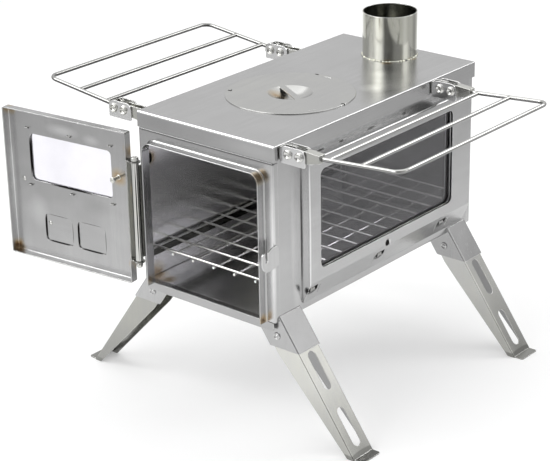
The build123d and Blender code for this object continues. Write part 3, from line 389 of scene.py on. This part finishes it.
# Spans: a pattern's value at the start and at the end, then what these become if not 0 and 1
PATCH_SPAN = (0.32, 0.68)
WORN_SPAN = (0.62, 0.40, 0.0, 0.4)
ROUGH_SPAN = (0.35, 0.65)
SOOT_SPAN = (0.35, 0.75, 0.0, 0.12)
HEAT_SPAN = (0.25, 0.7, 0.35, 1.15)
TINT_SPAN = (0.02, 0.7, 0.0, 0.85)
# The edge and glint spans shape painted edge highlights, the facing spans painted shade
EDGE_HIGHLIGHT_SPAN = (0.99, 0.86)
GLINT_SPAN = (0.3, 0.6, 0.6, 1.0)
FACES_FRONT = (0.5, 0.8)
FACES_DOWN = (0.15, -0.65)
WIRE_SPAN = (0.3, 0.7)
WIRE_TURN = 0.8
SMEAR_SPAN = (0.35, 0.7)

# Tones as shares of the steel's own, some by channel, and how much blue a warm steel loses
WORN_TONE = 0.90
# Tone of painted shade in hollows
HOLLOW_SHADE_TONE = 0.5
SOOT_TONE = (0.52, 0.45, 0.38)
WIRE_DULL = (0.86, 0.86, 0.83)
WIRE_BRIGHT = (1, 1, 0.98)
# Blue kept in painted shade on faces that face down
SHADE_BELOW_BLUE = 0.97
# Blue kept in painted edge highlights
EDGE_HIGHLIGHT_BLUE = 0.985
LIGHT_WARMTH = 0.10
DARK_WARMTH = 0.03
SPOT_WARMTH = 0.06

# Roughness, and what patterns add to it
ROUGH_SWING = 0.015
MARK_ROUGH = 0.4
WIRE_ROUGHER = 0.05
WIRE_SMOOTHER = 0.04
MATT = 0.9

# Bumps: strength, and height in metres
FINE_BUMP = (0.03, 0.00005)
WAVE_HEIGHT = 0.0016
WIRE_BUMP = (0.08, 0.0001)
WEAVE_BUMP = (0.4, 0.0003)

# How much of a mark is solid, and how much of a hollow's box its fade takes
MARK_CORE = 0.72
HOLLOW_BLUR = 0.05

HEAT_COLOURS = ((0.0, (0.60, 0.47, 0.27)), (0.6, (0.46, 0.33, 0.17)),
                (0.9, (0.30, 0.185, 0.10)), (1.0, (0.07, 0.05, 0.038)))
BLACK_MARK = (0.018, 0.016, 0.015)
GLASS_COLOUR = (0.86, 0.85, 0.90)
GLASS_SMEAR = 0.92
GLASS_IOR = 1.33
GLASS_ROUGH = 0.004
GASKET_COLOURS = ((0.05, 0.05, 0.047), (0.16, 0.155, 0.145))

# The space inside the firebox
INSIDE_LOW = (-HALF_W + SHEET / 2, SHEET / 2, SHEET / 2)
INSIDE_HIGH = (HALF_W - SHEET / 2, BOX_L - SHEET / 2, WALL_H)


def steel(name, tone=0.50, rough=0.24, grain=ALONG_Y, wave=1.0, edge=0.8, edge_r=0.7, warm=0.0,
          clouds=0.05, cloud_scale=11.0, below=1.0, inside=None, spots=(), hollows=(), tints=(),
          marks=()):
    """Brushed sheet steel.

    wave is how wavy the sheet is, edge the tone of a painted highlight along its edges and edge_r
    their radius, warm how yellow it is, and clouds how strong its patches are. below is the share
    of the tone that is left where it faces down, as painted shade, and inside its tone and
    roughness inside the firebox. The last four are lists of places: paler or darker spots, most
    of them painted highlights, painted reflections and painted shade; hollows given painted shade;
    heat tints; and black marks, some of them painted shade and painted dark reflections.
    """
    m = Surface(name)
    light = colour_of(tone * (1 + clouds), blue=1 - LIGHT_WARMTH * warm)
    dark = colour_of(tone * (1 - clouds), blue=1 - DARK_WARMTH * warm)
    colour = m.mix(m.span(m.noise(cloud_scale, 4.0), *PATCH_SPAN), dark, light)
    fine = m.noise(FINE_SCALE, 2.0, grain)
    streaks = m.noise(STREAK_SCALE, 3.0, grain)
    lines = m.math("ADD", m.math("MULTIPLY", fine, 0.5), m.math("MULTIPLY", streaks, 0.5))
    colour = m.mix(m.span(lines, *WORN_SPAN), colour, colour_of(tone * WORN_TONE))
    roughness = m.span(lines, *ROUGH_SPAN, rough + ROUGH_SWING, rough - ROUGH_SWING)
    if inside:
        tone_in, rough_in = inside
        within = m.inside_box(INSIDE_LOW, INSIDE_HIGH)
        soot = m.span(m.noise(SOOT_SCALE, 2.0), *SOOT_SPAN)
        inner = m.mix(soot, colour_of(tone_in), colour_of(tone_in, *SOOT_TONE))
        colour = m.mix(within, colour, inner)
        roughness = m.math("ADD", roughness, m.math("MULTIPLY", within, rough_in - rough))
    # Paler and darker spots, most of them painted highlights, painted reflections and painted
    # shade
    for centre, radii, core, shade in spots:
        spot_colour = colour_of(shade, blue=1 - SPOT_WARMTH * warm)
        colour = m.mix(m.spot(centre, radii, core), colour, spot_colour)
    # Painted shade in hollows, where they face the front
    if hollows:
        within = m.any_of([m.inside_box(low, high, HOLLOW_BLUR) for low, high in hollows])
        shaded = m.math("MULTIPLY", m.facing(TO_FRONT, *FACES_FRONT), within)
        colour = m.mix(shaded, colour, colour_of(tone * HOLLOW_SHADE_TONE))
    if tints:
        heat = m.any_of([m.spot(spot, (r, r, r)) for spot, r in tints])
        heat = m.math("MULTIPLY", heat, m.span(m.noise(HEAT_SCALE, 4.0), *HEAT_SPAN))
        colour = m.mix(m.span(heat, *TINT_SPAN), colour, m.ramp(heat, HEAT_COLOURS))
    # Painted shade: darker where the surface faces down
    if below < 1.0:
        shade_below_mask = m.facing(UP, *FACES_DOWN)
        colour = m.mix(shade_below_mask, colour, colour_of(tone * below, blue=SHADE_BELOW_BLUE))
    rounded = m.soft_normal(edge_r) if edge_r else None
    # Painted highlight: paler along edges where the rounded normal turns from the flat one, broken
    # up by noise
    if edge and edge_r:
        turn = m.span(m.dot(rounded, m.flat_normal()), *EDGE_HIGHLIGHT_SPAN)
        bright = m.math("MULTIPLY", turn, m.span(m.noise(GLINT_SCALE, 3.0), *GLINT_SPAN))
        colour = m.mix(bright, colour, colour_of(edge, blue=EDGE_HIGHLIGHT_BLUE))
    if marks:
        black = m.any_of([m.spot(spot, radii, MARK_CORE) for spot, radii in marks])
        colour = m.mix(black, colour, BLACK_MARK)
        roughness = m.math("ADD", roughness, m.math("MULTIPLY", black, MARK_ROUGH))
    waves = m.bump(m.noise(WAVE_SCALE, 2.0), 1.0, WAVE_HEIGHT * wave, rounded)
    m.dress({"Base Color": colour, "Metallic": 1.0, "Roughness": roughness,
             "Normal": m.bump(fine, *FINE_BUMP, waves)})
    return m.material


def wire(name, tone=0.52, rough=0.17, below=0.30, turn=0.25):
    """Drawn round wire, with painted shade on its lower side."""
    m = Surface(name)
    patches = m.noise(WIRE_SCALE, 4.0)
    colour = m.mix(m.span(patches, *WIRE_SPAN), colour_of(tone, *WIRE_DULL),
                   colour_of(tone, *WIRE_BRIGHT))
    # Painted shade on the lower side of the wire
    shade_below_mask = m.facing(UP, turn, turn - WIRE_TURN)
    roughness = m.span(patches, *WIRE_SPAN, rough + WIRE_ROUGHER, rough - WIRE_SMOOTHER)
    m.dress({"Base Color": m.mix(shade_below_mask, colour, colour_of(tone * below)), "Metallic": 1.0,
             "Roughness": roughness, "Normal": m.bump(m.noise(SCRATCH_SCALE, 2.0), *WIRE_BUMP)})
    return m.material


def tinted_glass(name):
    m = Surface(name)
    smear = m.span(m.noise(SMEAR_SCALE, 4.0), *SMEAR_SPAN)
    smeared = tuple(GLASS_SMEAR * c for c in GLASS_COLOUR)
    m.dress({"Base Color": m.mix(smear, GLASS_COLOUR, smeared), "Transmission Weight": 1.0,
             "IOR": GLASS_IOR, "Roughness": m.span(smear, 0.0, 1.0, 0.0, GLASS_ROUGH)})
    return m.material


def gasket_tape(name):
    m = Surface(name)
    weave = m.noise(WEAVE_SCALE, 2.0)
    m.dress({"Base Color": m.mix(weave, *GASKET_COLOURS), "Roughness": MATT,
             "Normal": m.bump(weave, *WEAVE_BUMP)})
    return m.material


def paint(node_names, material):
    for name in node_names:
        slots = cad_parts[name].material_slots
        for slot in slots:
            slot.material = material
        if not slots:
            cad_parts[name].data.materials.append(material)


# Pieces made here

def join_rings(bm, rings):
    """Adds the faces from each ring of corners to the next; a ring of one corner is a tip."""
    for lower, upper in zip(rings, rings[1:]):
        for i in range(max(len(lower), len(upper))):
            j = i + 1
            corners = (lower[i % len(lower)], lower[j % len(lower)],
                       upper[j % len(upper)], upper[i % len(upper)])
            bm.faces.new(list(dict.fromkeys(corners)))


def turned(bm, centre, axis, profile, segments=32):
    """Adds a closed turned shape, from (radius, height) in millimetres along its axis."""
    turn = Vector(axis).to_track_quat("Z", "Y").to_matrix()
    rings = []
    for radius, height in profile:
        ring = []
        for a in around(segments) if radius > 0 else (0.0,):
            spot = Vector((radius * math.cos(a), radius * math.sin(a), height)) * MM
            ring.append(bm.verts.new(centre + turn @ spot))
        rings.append(ring)
    join_rings(bm, rings)


def piece_from(name, bm, material, body, replaces=None, sharp=35):
    """Turns a finished mesh into a piece that rides on a body."""
    bmesh.ops.recalc_face_normals(bm, faces=bm.faces[:])
    mesh = bpy.data.meshes.new(name)
    bm.to_mesh(mesh)
    bm.free()
    for polygon in mesh.polygons:
        polygon.use_smooth = True
    mesh.set_sharp_from_angle(angle=math.radians(sharp))
    mesh.materials.append(material)
    piece = bpy.data.objects.new(name, mesh)
    bpy.context.scene.collection.objects.link(piece)
    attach(piece, body)
    if replaces:
        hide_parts(replaces)


# Rivet heads as (radius, height) from the sheet
DISHED_HEAD = ((5.8, 0.0), (5.8, 0.9), (5.3, 1.9), (4.5, 2.5), (3.9, 2.6), (3.4, 2.2),
               (2.9, 1.3), (2.2, 0.8), (1.2, 0.6), (0.0, 0.55))
RING_HEAD = ((4.6, 0.0), (4.6, 0.7), (4.1, 1.5), (3.5, 1.7), (3.0, 1.2), (2.6, 0.5),
             (2.2, 0.7), (1.6, 1.5), (0.8, 1.85), (0.0, 1.9))

PIVOT_Z = 206.8
PIVOTS = {"right": (117.5, 133.2), "left": (132.3, 148.0)}
RACK_YS = (15.0, 301.5)
LINK_HALF = 7.2
RIVET_R = 2.5


def make_rack_rivets(side, material):
    """Rivets with a dished head at both ends, two on each pair of links."""
    bm = bmesh.new()
    upper = [(r, h + LINK_HALF) for r, h in DISHED_HEAD]
    lower = [(r, -h - LINK_HALF) for r, h in reversed(DISHED_HEAD)]
    profile = lower + [(RIVET_R, -LINK_HALF), (RIVET_R, LINK_HALF)] + upper
    for y in RACK_YS:
        for x in PIVOTS[side]:
            turned(bm, at(on_side(x, side), y, PIVOT_Z), (0, 1, 0), profile)
    piece_from("dished_rivets_" + side, bm, material, side + "_links",
               "rack_rivets_" + side)


LEG_PIN_X = 99.0
LEG_PIN_Z = -17.2
LEG_PIN_FACE = {"right": 19.6, "left": 16.8}
LEG_PIN = ((0.0, -4.1), (2.4, -4.0), (3.8, -3.2), (3.0, -3.1), (3.0, 0.0)) + RING_HEAD


def make_leg_pins(side, end, material):
    """The two short rivets of one leg, with a ringed head outside and a low one inside."""
    bm = bmesh.new()
    for way in (-1, 1):
        y = LEG_YS[end] + way * LEG_PIN_FACE[side]
        turned(bm, at(on_side(LEG_PIN_X, side), y, LEG_PIN_Z), (0, way, 0), LEG_PIN)
    place = end + "_" + side
    piece_from("ring_pins_" + place, bm, material, "stove", "leg_pins_" + place)


WELD_BEADS = 52
WELD_STEPS = 384
WELD_AROUND = 8
WELD_OUT = 0.3
WELD_UP = 0.15
WELD_THINNEST = 0.3


def bead_radius(turn):
    """How thick the weld is at an angle round the collar: beads of uneven size."""
    swell = (0.5 + 0.85 * abs(math.sin(turn * WELD_BEADS / 2)) + 0.25 * math.sin(turn * 7)
             + 0.2 * math.sin(turn * 19))
    return max(swell, WELD_THINNEST)


def make_flue_weld(material):
    """A row of weld beads round the foot of the flue collar."""
    bm = bmesh.new()
    rings = []
    for a in around(WELD_STEPS):
        swell = bead_radius(a)
        ring = []
        for b in around(WELD_AROUND):
            r = FLUE_R + WELD_OUT + swell * math.cos(b)
            z = PLATE_Z + WELD_UP + swell * math.sin(b)
            ring.append(bm.verts.new(at(r * math.cos(a), FLUE_Y + r * math.sin(a), z)))
        rings.append(ring)
    join_rings(bm, rings + rings[:1])
    piece_from("flue_weld", bm, material, "stove", sharp=60)


ROD_R = 2.4
ROD_TEETH = 20
TOOTH_STEPS = 4
TOOTH_CUT = 0.3
KNURL_R = 4.6
NECK_Z = -5.0
NECK_OVERLAP = 0.3
ROD_HEAD = ((3.9, NECK_Z), (KNURL_R, -4.4), (KNURL_R, -0.8), (3.9, -0.1), (2.2, 0.0), (1.6, -0.5))


def make_hinge_rod(material):
    """The hinge rod with a knurled head, given from its top, that stands in for the plain one."""
    low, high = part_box("door_hinge_rod")
    top = (high.z - ORIGIN.z) / MM
    foot = (low.z - ORIGIN.z) / MM
    end = top + NECK_Z + NECK_OVERLAP
    bm = bmesh.new()
    turned(bm, at(*HINGE, 0), UP, [(0, foot), (ROD_R, foot), (ROD_R, end), (0, end)])
    rings = []
    for radius, height in ROD_HEAD:
        ring = []
        for i, a in enumerate(around(ROD_TEETH * TOOTH_STEPS)):
            groove = radius == KNURL_R and i % TOOTH_STEPS < TOOTH_STEPS / 2
            r = radius - TOOTH_CUT if groove else radius
            x, y = HINGE[0] + r * math.cos(a), HINGE[1] + r * math.sin(a)
            ring.append(bm.verts.new(at(x, y, top + height)))
        rings.append(ring)
    join_rings(bm, rings)
    bm.faces.new(rings[0])
    bm.faces.new(rings[-1])
    piece_from("knurled_rod", bm, material, "door", "door_hinge_rod", sharp=25)


STUD = (20.3, 129.5)
STUD_PROFILE = ((0.0, -SHEET - 1.2), (1.9, -SHEET - 1.05), (3.2, -SHEET), (1.8, -SHEET),
                (1.8, 0.0), (3.4, 0.0), (3.4, 1.0), (2.6, 1.4), (2.6, 4.2), (2.2, 4.6),
                (2.2, 5.2), (2.6, 5.6), (2.6, 9.6), (2.1, 10.0), (2.1, 10.4), (3.6, 10.6),
                (3.6, 12.5), (3.1, 13.0), (2.4, 13.0), (2.2, 12.55), (1.3, 12.55),
                (1.1, 12.95), (0.0, 13.0))


def make_door_stud(material):
    """The ringed stud inside the door, riveted through it."""
    bm = bmesh.new()
    turned(bm, at(*on_door(*STUD)), DOOR_IN, STUD_PROFILE)
    piece_from("ringed_stud", bm, material, "door", "door_stud")


TAB_Y = 196.0
TAB_Z = 39.2
TAB_R = 3.9
TAB_STEPS = 16
TAB_ROUND = (-70, 110)
TAB_SHIFT = 0.6
TAB_LIFT = 0.95
TAB_SLOPE = 0.18
TAB_SUNK = 0.3


def make_frame_tab(material):
    """The small half-round tab pressed out of the window frame above its fold."""
    bm = bmesh.new()
    first, last = TAB_ROUND
    front, rear = [], []
    for i in range(TAB_STEPS + 1):
        a = math.radians(first + (last - first) * i / TAB_STEPS)
        y = TAB_Y + TAB_SHIFT + TAB_R * math.cos(a)
        z = TAB_Z + TAB_R * math.sin(a)
        lift = TAB_LIFT + TAB_SLOPE * (TAB_Y + TAB_R - y)
        front.append(bm.verts.new(at(FRAME_X + lift, y, z)))
        rear.append(bm.verts.new(at(FRAME_X - TAB_SUNK, y, z)))
    bm.faces.new(front)
    bm.faces.new(list(reversed(rear)))
    join_rings(bm, [front, rear])
    piece_from("frame_tab", bm, material, "stove")


# Places on the steel, in firebox millimetres. The door's hold for the door as it hangs open

OVAL = (-HALF_W + SHEET, 15.6, 151.7)
LUG_YS = (57.3, 185.15, 313.0)
LUG_Z = 26.5

# Black marks: (place, radii). Slits and seams, and some painted shade and painted dark reflections
FLANGE_SLITS = [((HALF_W + 0.6, y, FLANGE_Z - 0.6), (3.0, r, 0.8))
                for y, r in ((93, 10), (197, 11))]
SEAM_SLITS = [((HALF_W + 0.4, y, 187.2), (0.9, r, 0.7))
              for y, r in ((84, 9), (122, 6), (178, 10), (243, 7))]
LID_CUTS = [((x, 155 + y, PLATE_Z + 1.2), (3.6, 1.7, 1.6))
            for x, y in ((-62, -38), (-18, 73), (76, 4))]
WALL_SEAM = [((HALF_W + 0.5, 47.6, 100), (2.0, 0.9, 90))]
TAB_SHADOW = [((FRAME_X, TAB_Y - 1.6, TAB_Z), (2.0, 4.6, 4.8))]
OVAL_HOLE = [(OVAL, (2.0, 4.6, 8.5))]
# Painted shade along the outlines of the door's vents
VENT_SHADE_LINES = [(on_door(u, h), (r_u, 6.0, r_h)) for start in (46.0, 97.5)
              for u, h, r_u, r_h in ((start + 21.5, 58, 20, 0.55), (start + 21.5, 22.5, 20, 0.7),
                                     (start, 40, 0.7, 16), (start + 43, 40, 0.8, 16))]
# Painted shade along the bottom and one side of the door's window
DOOR_WINDOW_SHADE = [(on_door(94, 98.9), (62, 6.0, 1.0)), (on_door(157.6, 130), (1.1, 6.0, 30))]
# Painted dark reflections: upright dark bands on the hinge barrel
BARREL_DARK_REFLECTIONS = [((-102.1, -8.6, 89), (0.8, 0.8, 70)), ((-100.5, -3.8, 89), (1.4, 1.8, 80)),
                  ((-107.2, -9.3, 89), (1.4, 1.6, 80))]

# Heat tints: (place, radius)
PLATE_TINTS = [((20, FLUE_Y - 34, PLATE_Z), 9), ((34, FLUE_Y, PLATE_Z), 8)]
SHELL_TINTS = [(OVAL, 13), ((-100, 18, 4), 18), ((-80, 16, 1), 14)]
LID_TINTS = [((-14, 147, PLATE_Z - 4), 15)]
MOUTH_TINTS = [((86, -6, 177), 11), ((88, -7, 4), 10), ((-88, -7, 6), 7)]
DOOR_TINTS = [(on_door(*STUD), 14), (on_door(184, 187), 9), (on_door(187, 5), 11),
              (on_door(4, 168), 9), (on_door(5, 20), 8), (on_door(2, 108), 8),
              (on_door(2, 76), 7)]
BRACKET_TINTS = [(on_door(-1, 120, -4), 12), (on_door(-1, 50, -4), 9)]

# Paler and darker spots, most painted light and shade: (place, radii, solid share of the radii,
# tone)
# Painted highlight along the top plate's front bend
TOP_BEND_HIGHLIGHT = [((0, -0.3, PLATE_Z - 0.4), (400, 2.6, 2.6), 0.55, 0.98)]
# Painted light on the right of the front flange and painted shade on its left
FLANGE_LIGHT_AND_SHADE = [((72, 0, 205), (60, 3, 14), 0.2, 0.53), ((-72, 0, 205), (50, 3, 14), 0.2, 0.41)]
FLUE_GLEAM = [((x, y, PLATE_Z), (20, 20, 3), 0.0, 0.74)
              for x, y in ((48, 280), (62, 262), (74, 248), (68, 230))]
# Painted reflections on the flue: pale, dark and golden upright bands
FLUE_REFLECTION_BANDS = [((4.5, 317.9, 245), (8.0, 8.0, 90), 0.3, 0.72),
              ((19.9, 324, 238), (4.5, 4.5, 30), 0.0, 0.42),
              ((32.1, 339.8, 245), (4.5, 5.5, 90), 0.2, 0.72),
              ((34, 357, 245), (3.5, 6.5, 90), 0.2, 0.34)]
# Painted shade that dims the light on the front panel's top bend
PANEL_BEND_SHADE = [((0, 1.0, 194.4), (400, 2.8, 2.6), 0.7, 0.21)]
# Painted highlight on the front panel's right strip
PANEL_RIGHT_HIGHLIGHT = [((96, 0, 95), (13, 4, 130), 0.3, 0.78)]
# Painted highlight on the wall just in front of the window frame
WALL_HIGHLIGHT_BY_FRAME = [((HALF_W, 40, 98), (2.0, 12, 110), 0.3, 0.62)]
# Painted highlight on the front side of the window frame
FRAME_SIDE_HIGHLIGHT = [((109, 48.5, 98), (12, 1.5, 96), 0.9, 0.74)]
# Painted shade in and around the holes that the window lugs pass through
LUG_HOLE_SHADE = [((109, y - 1.5, LUG_Z), (5.5, 12, 7.0), 0.7, 0.04) for y in LUG_YS]
# Painted highlight on the inner wall of the door's far rim
DOOR_RIM_HIGHLIGHT = [(on_door(188, 95), (5, 30, 130), 0.0, 0.66)]
DOOR_SMEARS = [(on_door(105, 172), (34, 6, 9), 0.2, 0.66),
               (on_door(60, 168), (16, 6, 8), 0.2, 0.62),
               (on_door(150, 60), (20, 6, 26), 0.2, 0.54),
               (on_door(60, 82), (30, 6, 14), 0.2, 0.40)]
# Painted shade that darkens the legs towards their feet
LEG_SHADE_FADE = [((x, y, -150), (150, 50, 92), 0.0, 0.31)
            for x in (-180, 180) for y in LEG_YS.values()]
FEET = [((x, y, -142), (60, 30, 5.5), 0.8, 0.26) for x in (-200, 200) for y in LEG_YS.values()]

# The right legs' far flanges, given painted shade where they face the front: (low corner, high
# corner)
LEG_HOLLOWS = [((96, y + 12, -150), (300, y + 22, -22)) for y in LEG_YS.values()]

make_camera()
make_floor()
make_surround()
for lamp in LAMPS:
    soft_lamp(*lamp)

# Firebox, top and window
paint(["top_plate"], steel("plate_steel", tone=0.46, wave=0.5, edge_r=0, tints=PLATE_TINTS,
                           spots=FLANGE_LIGHT_AND_SHADE + TOP_BEND_HIGHLIGHT + FLUE_GLEAM, marks=FLANGE_SLITS))
paint(["firebox_shell"], steel("shell_steel", tone=0.46, wave=0.15, edge=0.75,
                               inside=(0.84, 0.20), spots=WALL_HIGHLIGHT_BY_FRAME, tints=SHELL_TINTS,
                               marks=FLANGE_SLITS + SEAM_SLITS + WALL_SEAM + OVAL_HOLE))
paint(["front_panel"], steel("panel_steel", tone=0.46, wave=0.5, edge_r=0, inside=(0.40, 0.20),
                             spots=PANEL_RIGHT_HIGHLIGHT + PANEL_BEND_SHADE, tints=MOUTH_TINTS))
paint(["back_panel"], steel("back_steel", grain=ALONG_X, inside=(0.42, 0.18)))
paint(["door_collar"], steel("collar_steel", tone=0.43, rough=0.20, grain=ALONG_Z, wave=0.8,
                             edge=0.6, tints=MOUTH_TINTS))
paint(["front_sill"], steel("sill_steel", tone=0.44, grain=ALONG_X, wave=0.8))
paint(["window_frame"], steel("frame_steel", tone=0.48, wave=0.8, edge=0.85,
                              spots=FRAME_SIDE_HIGHLIGHT + LUG_HOLE_SHADE, marks=SEAM_SLITS + TAB_SHADOW))
paint(["window_retainer", "window_spacers"],
      steel("retainer_steel", tone=0.42, rough=0.22, edge=0.7))
paint(["window_lugs"], steel("lug_steel", tone=0.40, rough=0.2, edge=0.9, warm=1.0, below=0.15))
paint(["door_keeper"], steel("keeper_steel", grain=ALONG_Z, edge=0.85))
paint(["cook_lid"], steel("lid_steel", tone=0.47, rough=0.22, wave=0.5, edge=0.9, warm=0.4,
                          tints=LID_TINTS, marks=LID_CUTS))

# Door
paint(["door_panel"], steel("door_steel", tone=0.46, rough=0.25, grain=ALONG_Z, wave=1.3,
                            clouds=0.09, spots=DOOR_RIM_HIGHLIGHT + DOOR_SMEARS, tints=DOOR_TINTS,
                            marks=VENT_SHADE_LINES + DOOR_WINDOW_SHADE))
paint(["door_glass_frame", "door_glass_lugs"],
      steel("door_frame_steel", tone=0.36, rough=0.25, grain=ALONG_Z, edge=0.7, warm=0.5))
paint(["air_damper", "damper_rails"], steel("damper_steel", tone=0.46, grain=ALONG_X, edge=0.7))
paint(["latch_bar"], steel("latch_steel", tone=0.46, grain=ALONG_Z, edge=0.85, warm=0.8))
paint(["door_hinge_bracket"], steel("bracket_steel", tone=0.24, grain=ALONG_Z, edge=0.85,
                                    warm=1.6, tints=BRACKET_TINTS))

# Folding racks, legs and the grate
paint(["rack_ears_" + s for s in SIDES],
      steel("ear_steel", tone=0.55, rough=0.25, grain=ALONG_Z, edge=0.85, warm=1.0))
paint(["rack_links_" + s for s in SIDES],
      steel("link_steel", tone=0.74, grain=ALONG_X, edge=0.9))
paint(["rack_arms_" + s for s in SIDES],
      steel("arm_steel", tone=0.57, rough=0.26, grain=ALONG_X, edge=0.85, warm=1.4, below=0.5))
# The left rack's wire is darker with more painted shade below, the grate's paler: painted shade
# and light
paint(["rack_wires_right"], wire("rack_wire_right"))
paint(["rack_wires_left"], wire("rack_wire_left", tone=0.36, turn=0.6))
paint(["grate"], wire("grate_wire", tone=0.88, rough=0.22, turn=-0.15))
paint(["grate_ledge_" + s for s in SIDES],
      steel("ledge_steel", tone=0.09, rough=0.22, edge=0.45, warm=1.5, clouds=0.3))
# One steel in a paler copy for the right legs and a darker one for the left: painted light and
# shade
for side, tone in (("right", 0.68), ("left", 0.42)):
    paint(["leg_" + e + "_" + side for e in ENDS],
          steel("leg_steel_" + side, tone=tone, rough=0.23, grain=ALONG_Z, wave=0.8, warm=0.9,
                spots=LEG_SHADE_FADE + FEET, hollows=LEG_HOLLOWS))
paint(["leg_bracket_" + e + "_" + s for e in ENDS for s in SIDES],
      steel("leg_bracket_steel", tone=0.48, rough=0.26, grain=ALONG_Z, wave=0.8, edge=0.85))

# Glass, gasket, and the bright turned parts
bright = steel("bright_turned", tone=0.66, rough=0.14, grain=ALONG_Z, wave=0.4, edge=0, warm=0.8)
paint(["door_hinge_barrel"], steel("barrel_steel", tone=0.60, rough=0.15, grain=ALONG_Z,
                                   wave=0.4, edge=0, warm=0.8, marks=BARREL_DARK_REFLECTIONS))
paint(["door_hinge_nut", "damper_knob", "latch_pin"], bright)
paint(["flue_collar"], steel("flue_steel", tone=0.56, rough=0.13, grain=ALONG_Z, wave=0.8,
                             edge=0.9, warm=1.6, clouds=0.08, spots=FLUE_REFLECTION_BANDS))
paint(["window_glass", "door_glass"], tinted_glass("stove_glass"))
paint(["window_gasket"], gasket_tape("gasket_tape"))
pin_steel = steel("pin_steel", tone=0.55, rough=0.16, wave=0.3, edge=0.9)
for side in SIDES:
    make_rack_rivets(side, bright)
    for end in ENDS:
        make_leg_pins(side, end, pin_steel)
make_flue_weld(steel("weld_steel", tone=0.55, rough=0.22, grain=ALONG_Z, wave=0.2, edge_r=0,
                     warm=1.6, clouds=0.7, cloud_scale=300.0))
make_hinge_rod(bright)
make_door_stud(bright)
make_frame_tab(steel("tab_steel", tone=0.62, rough=0.22, wave=0.2, edge=0.9))
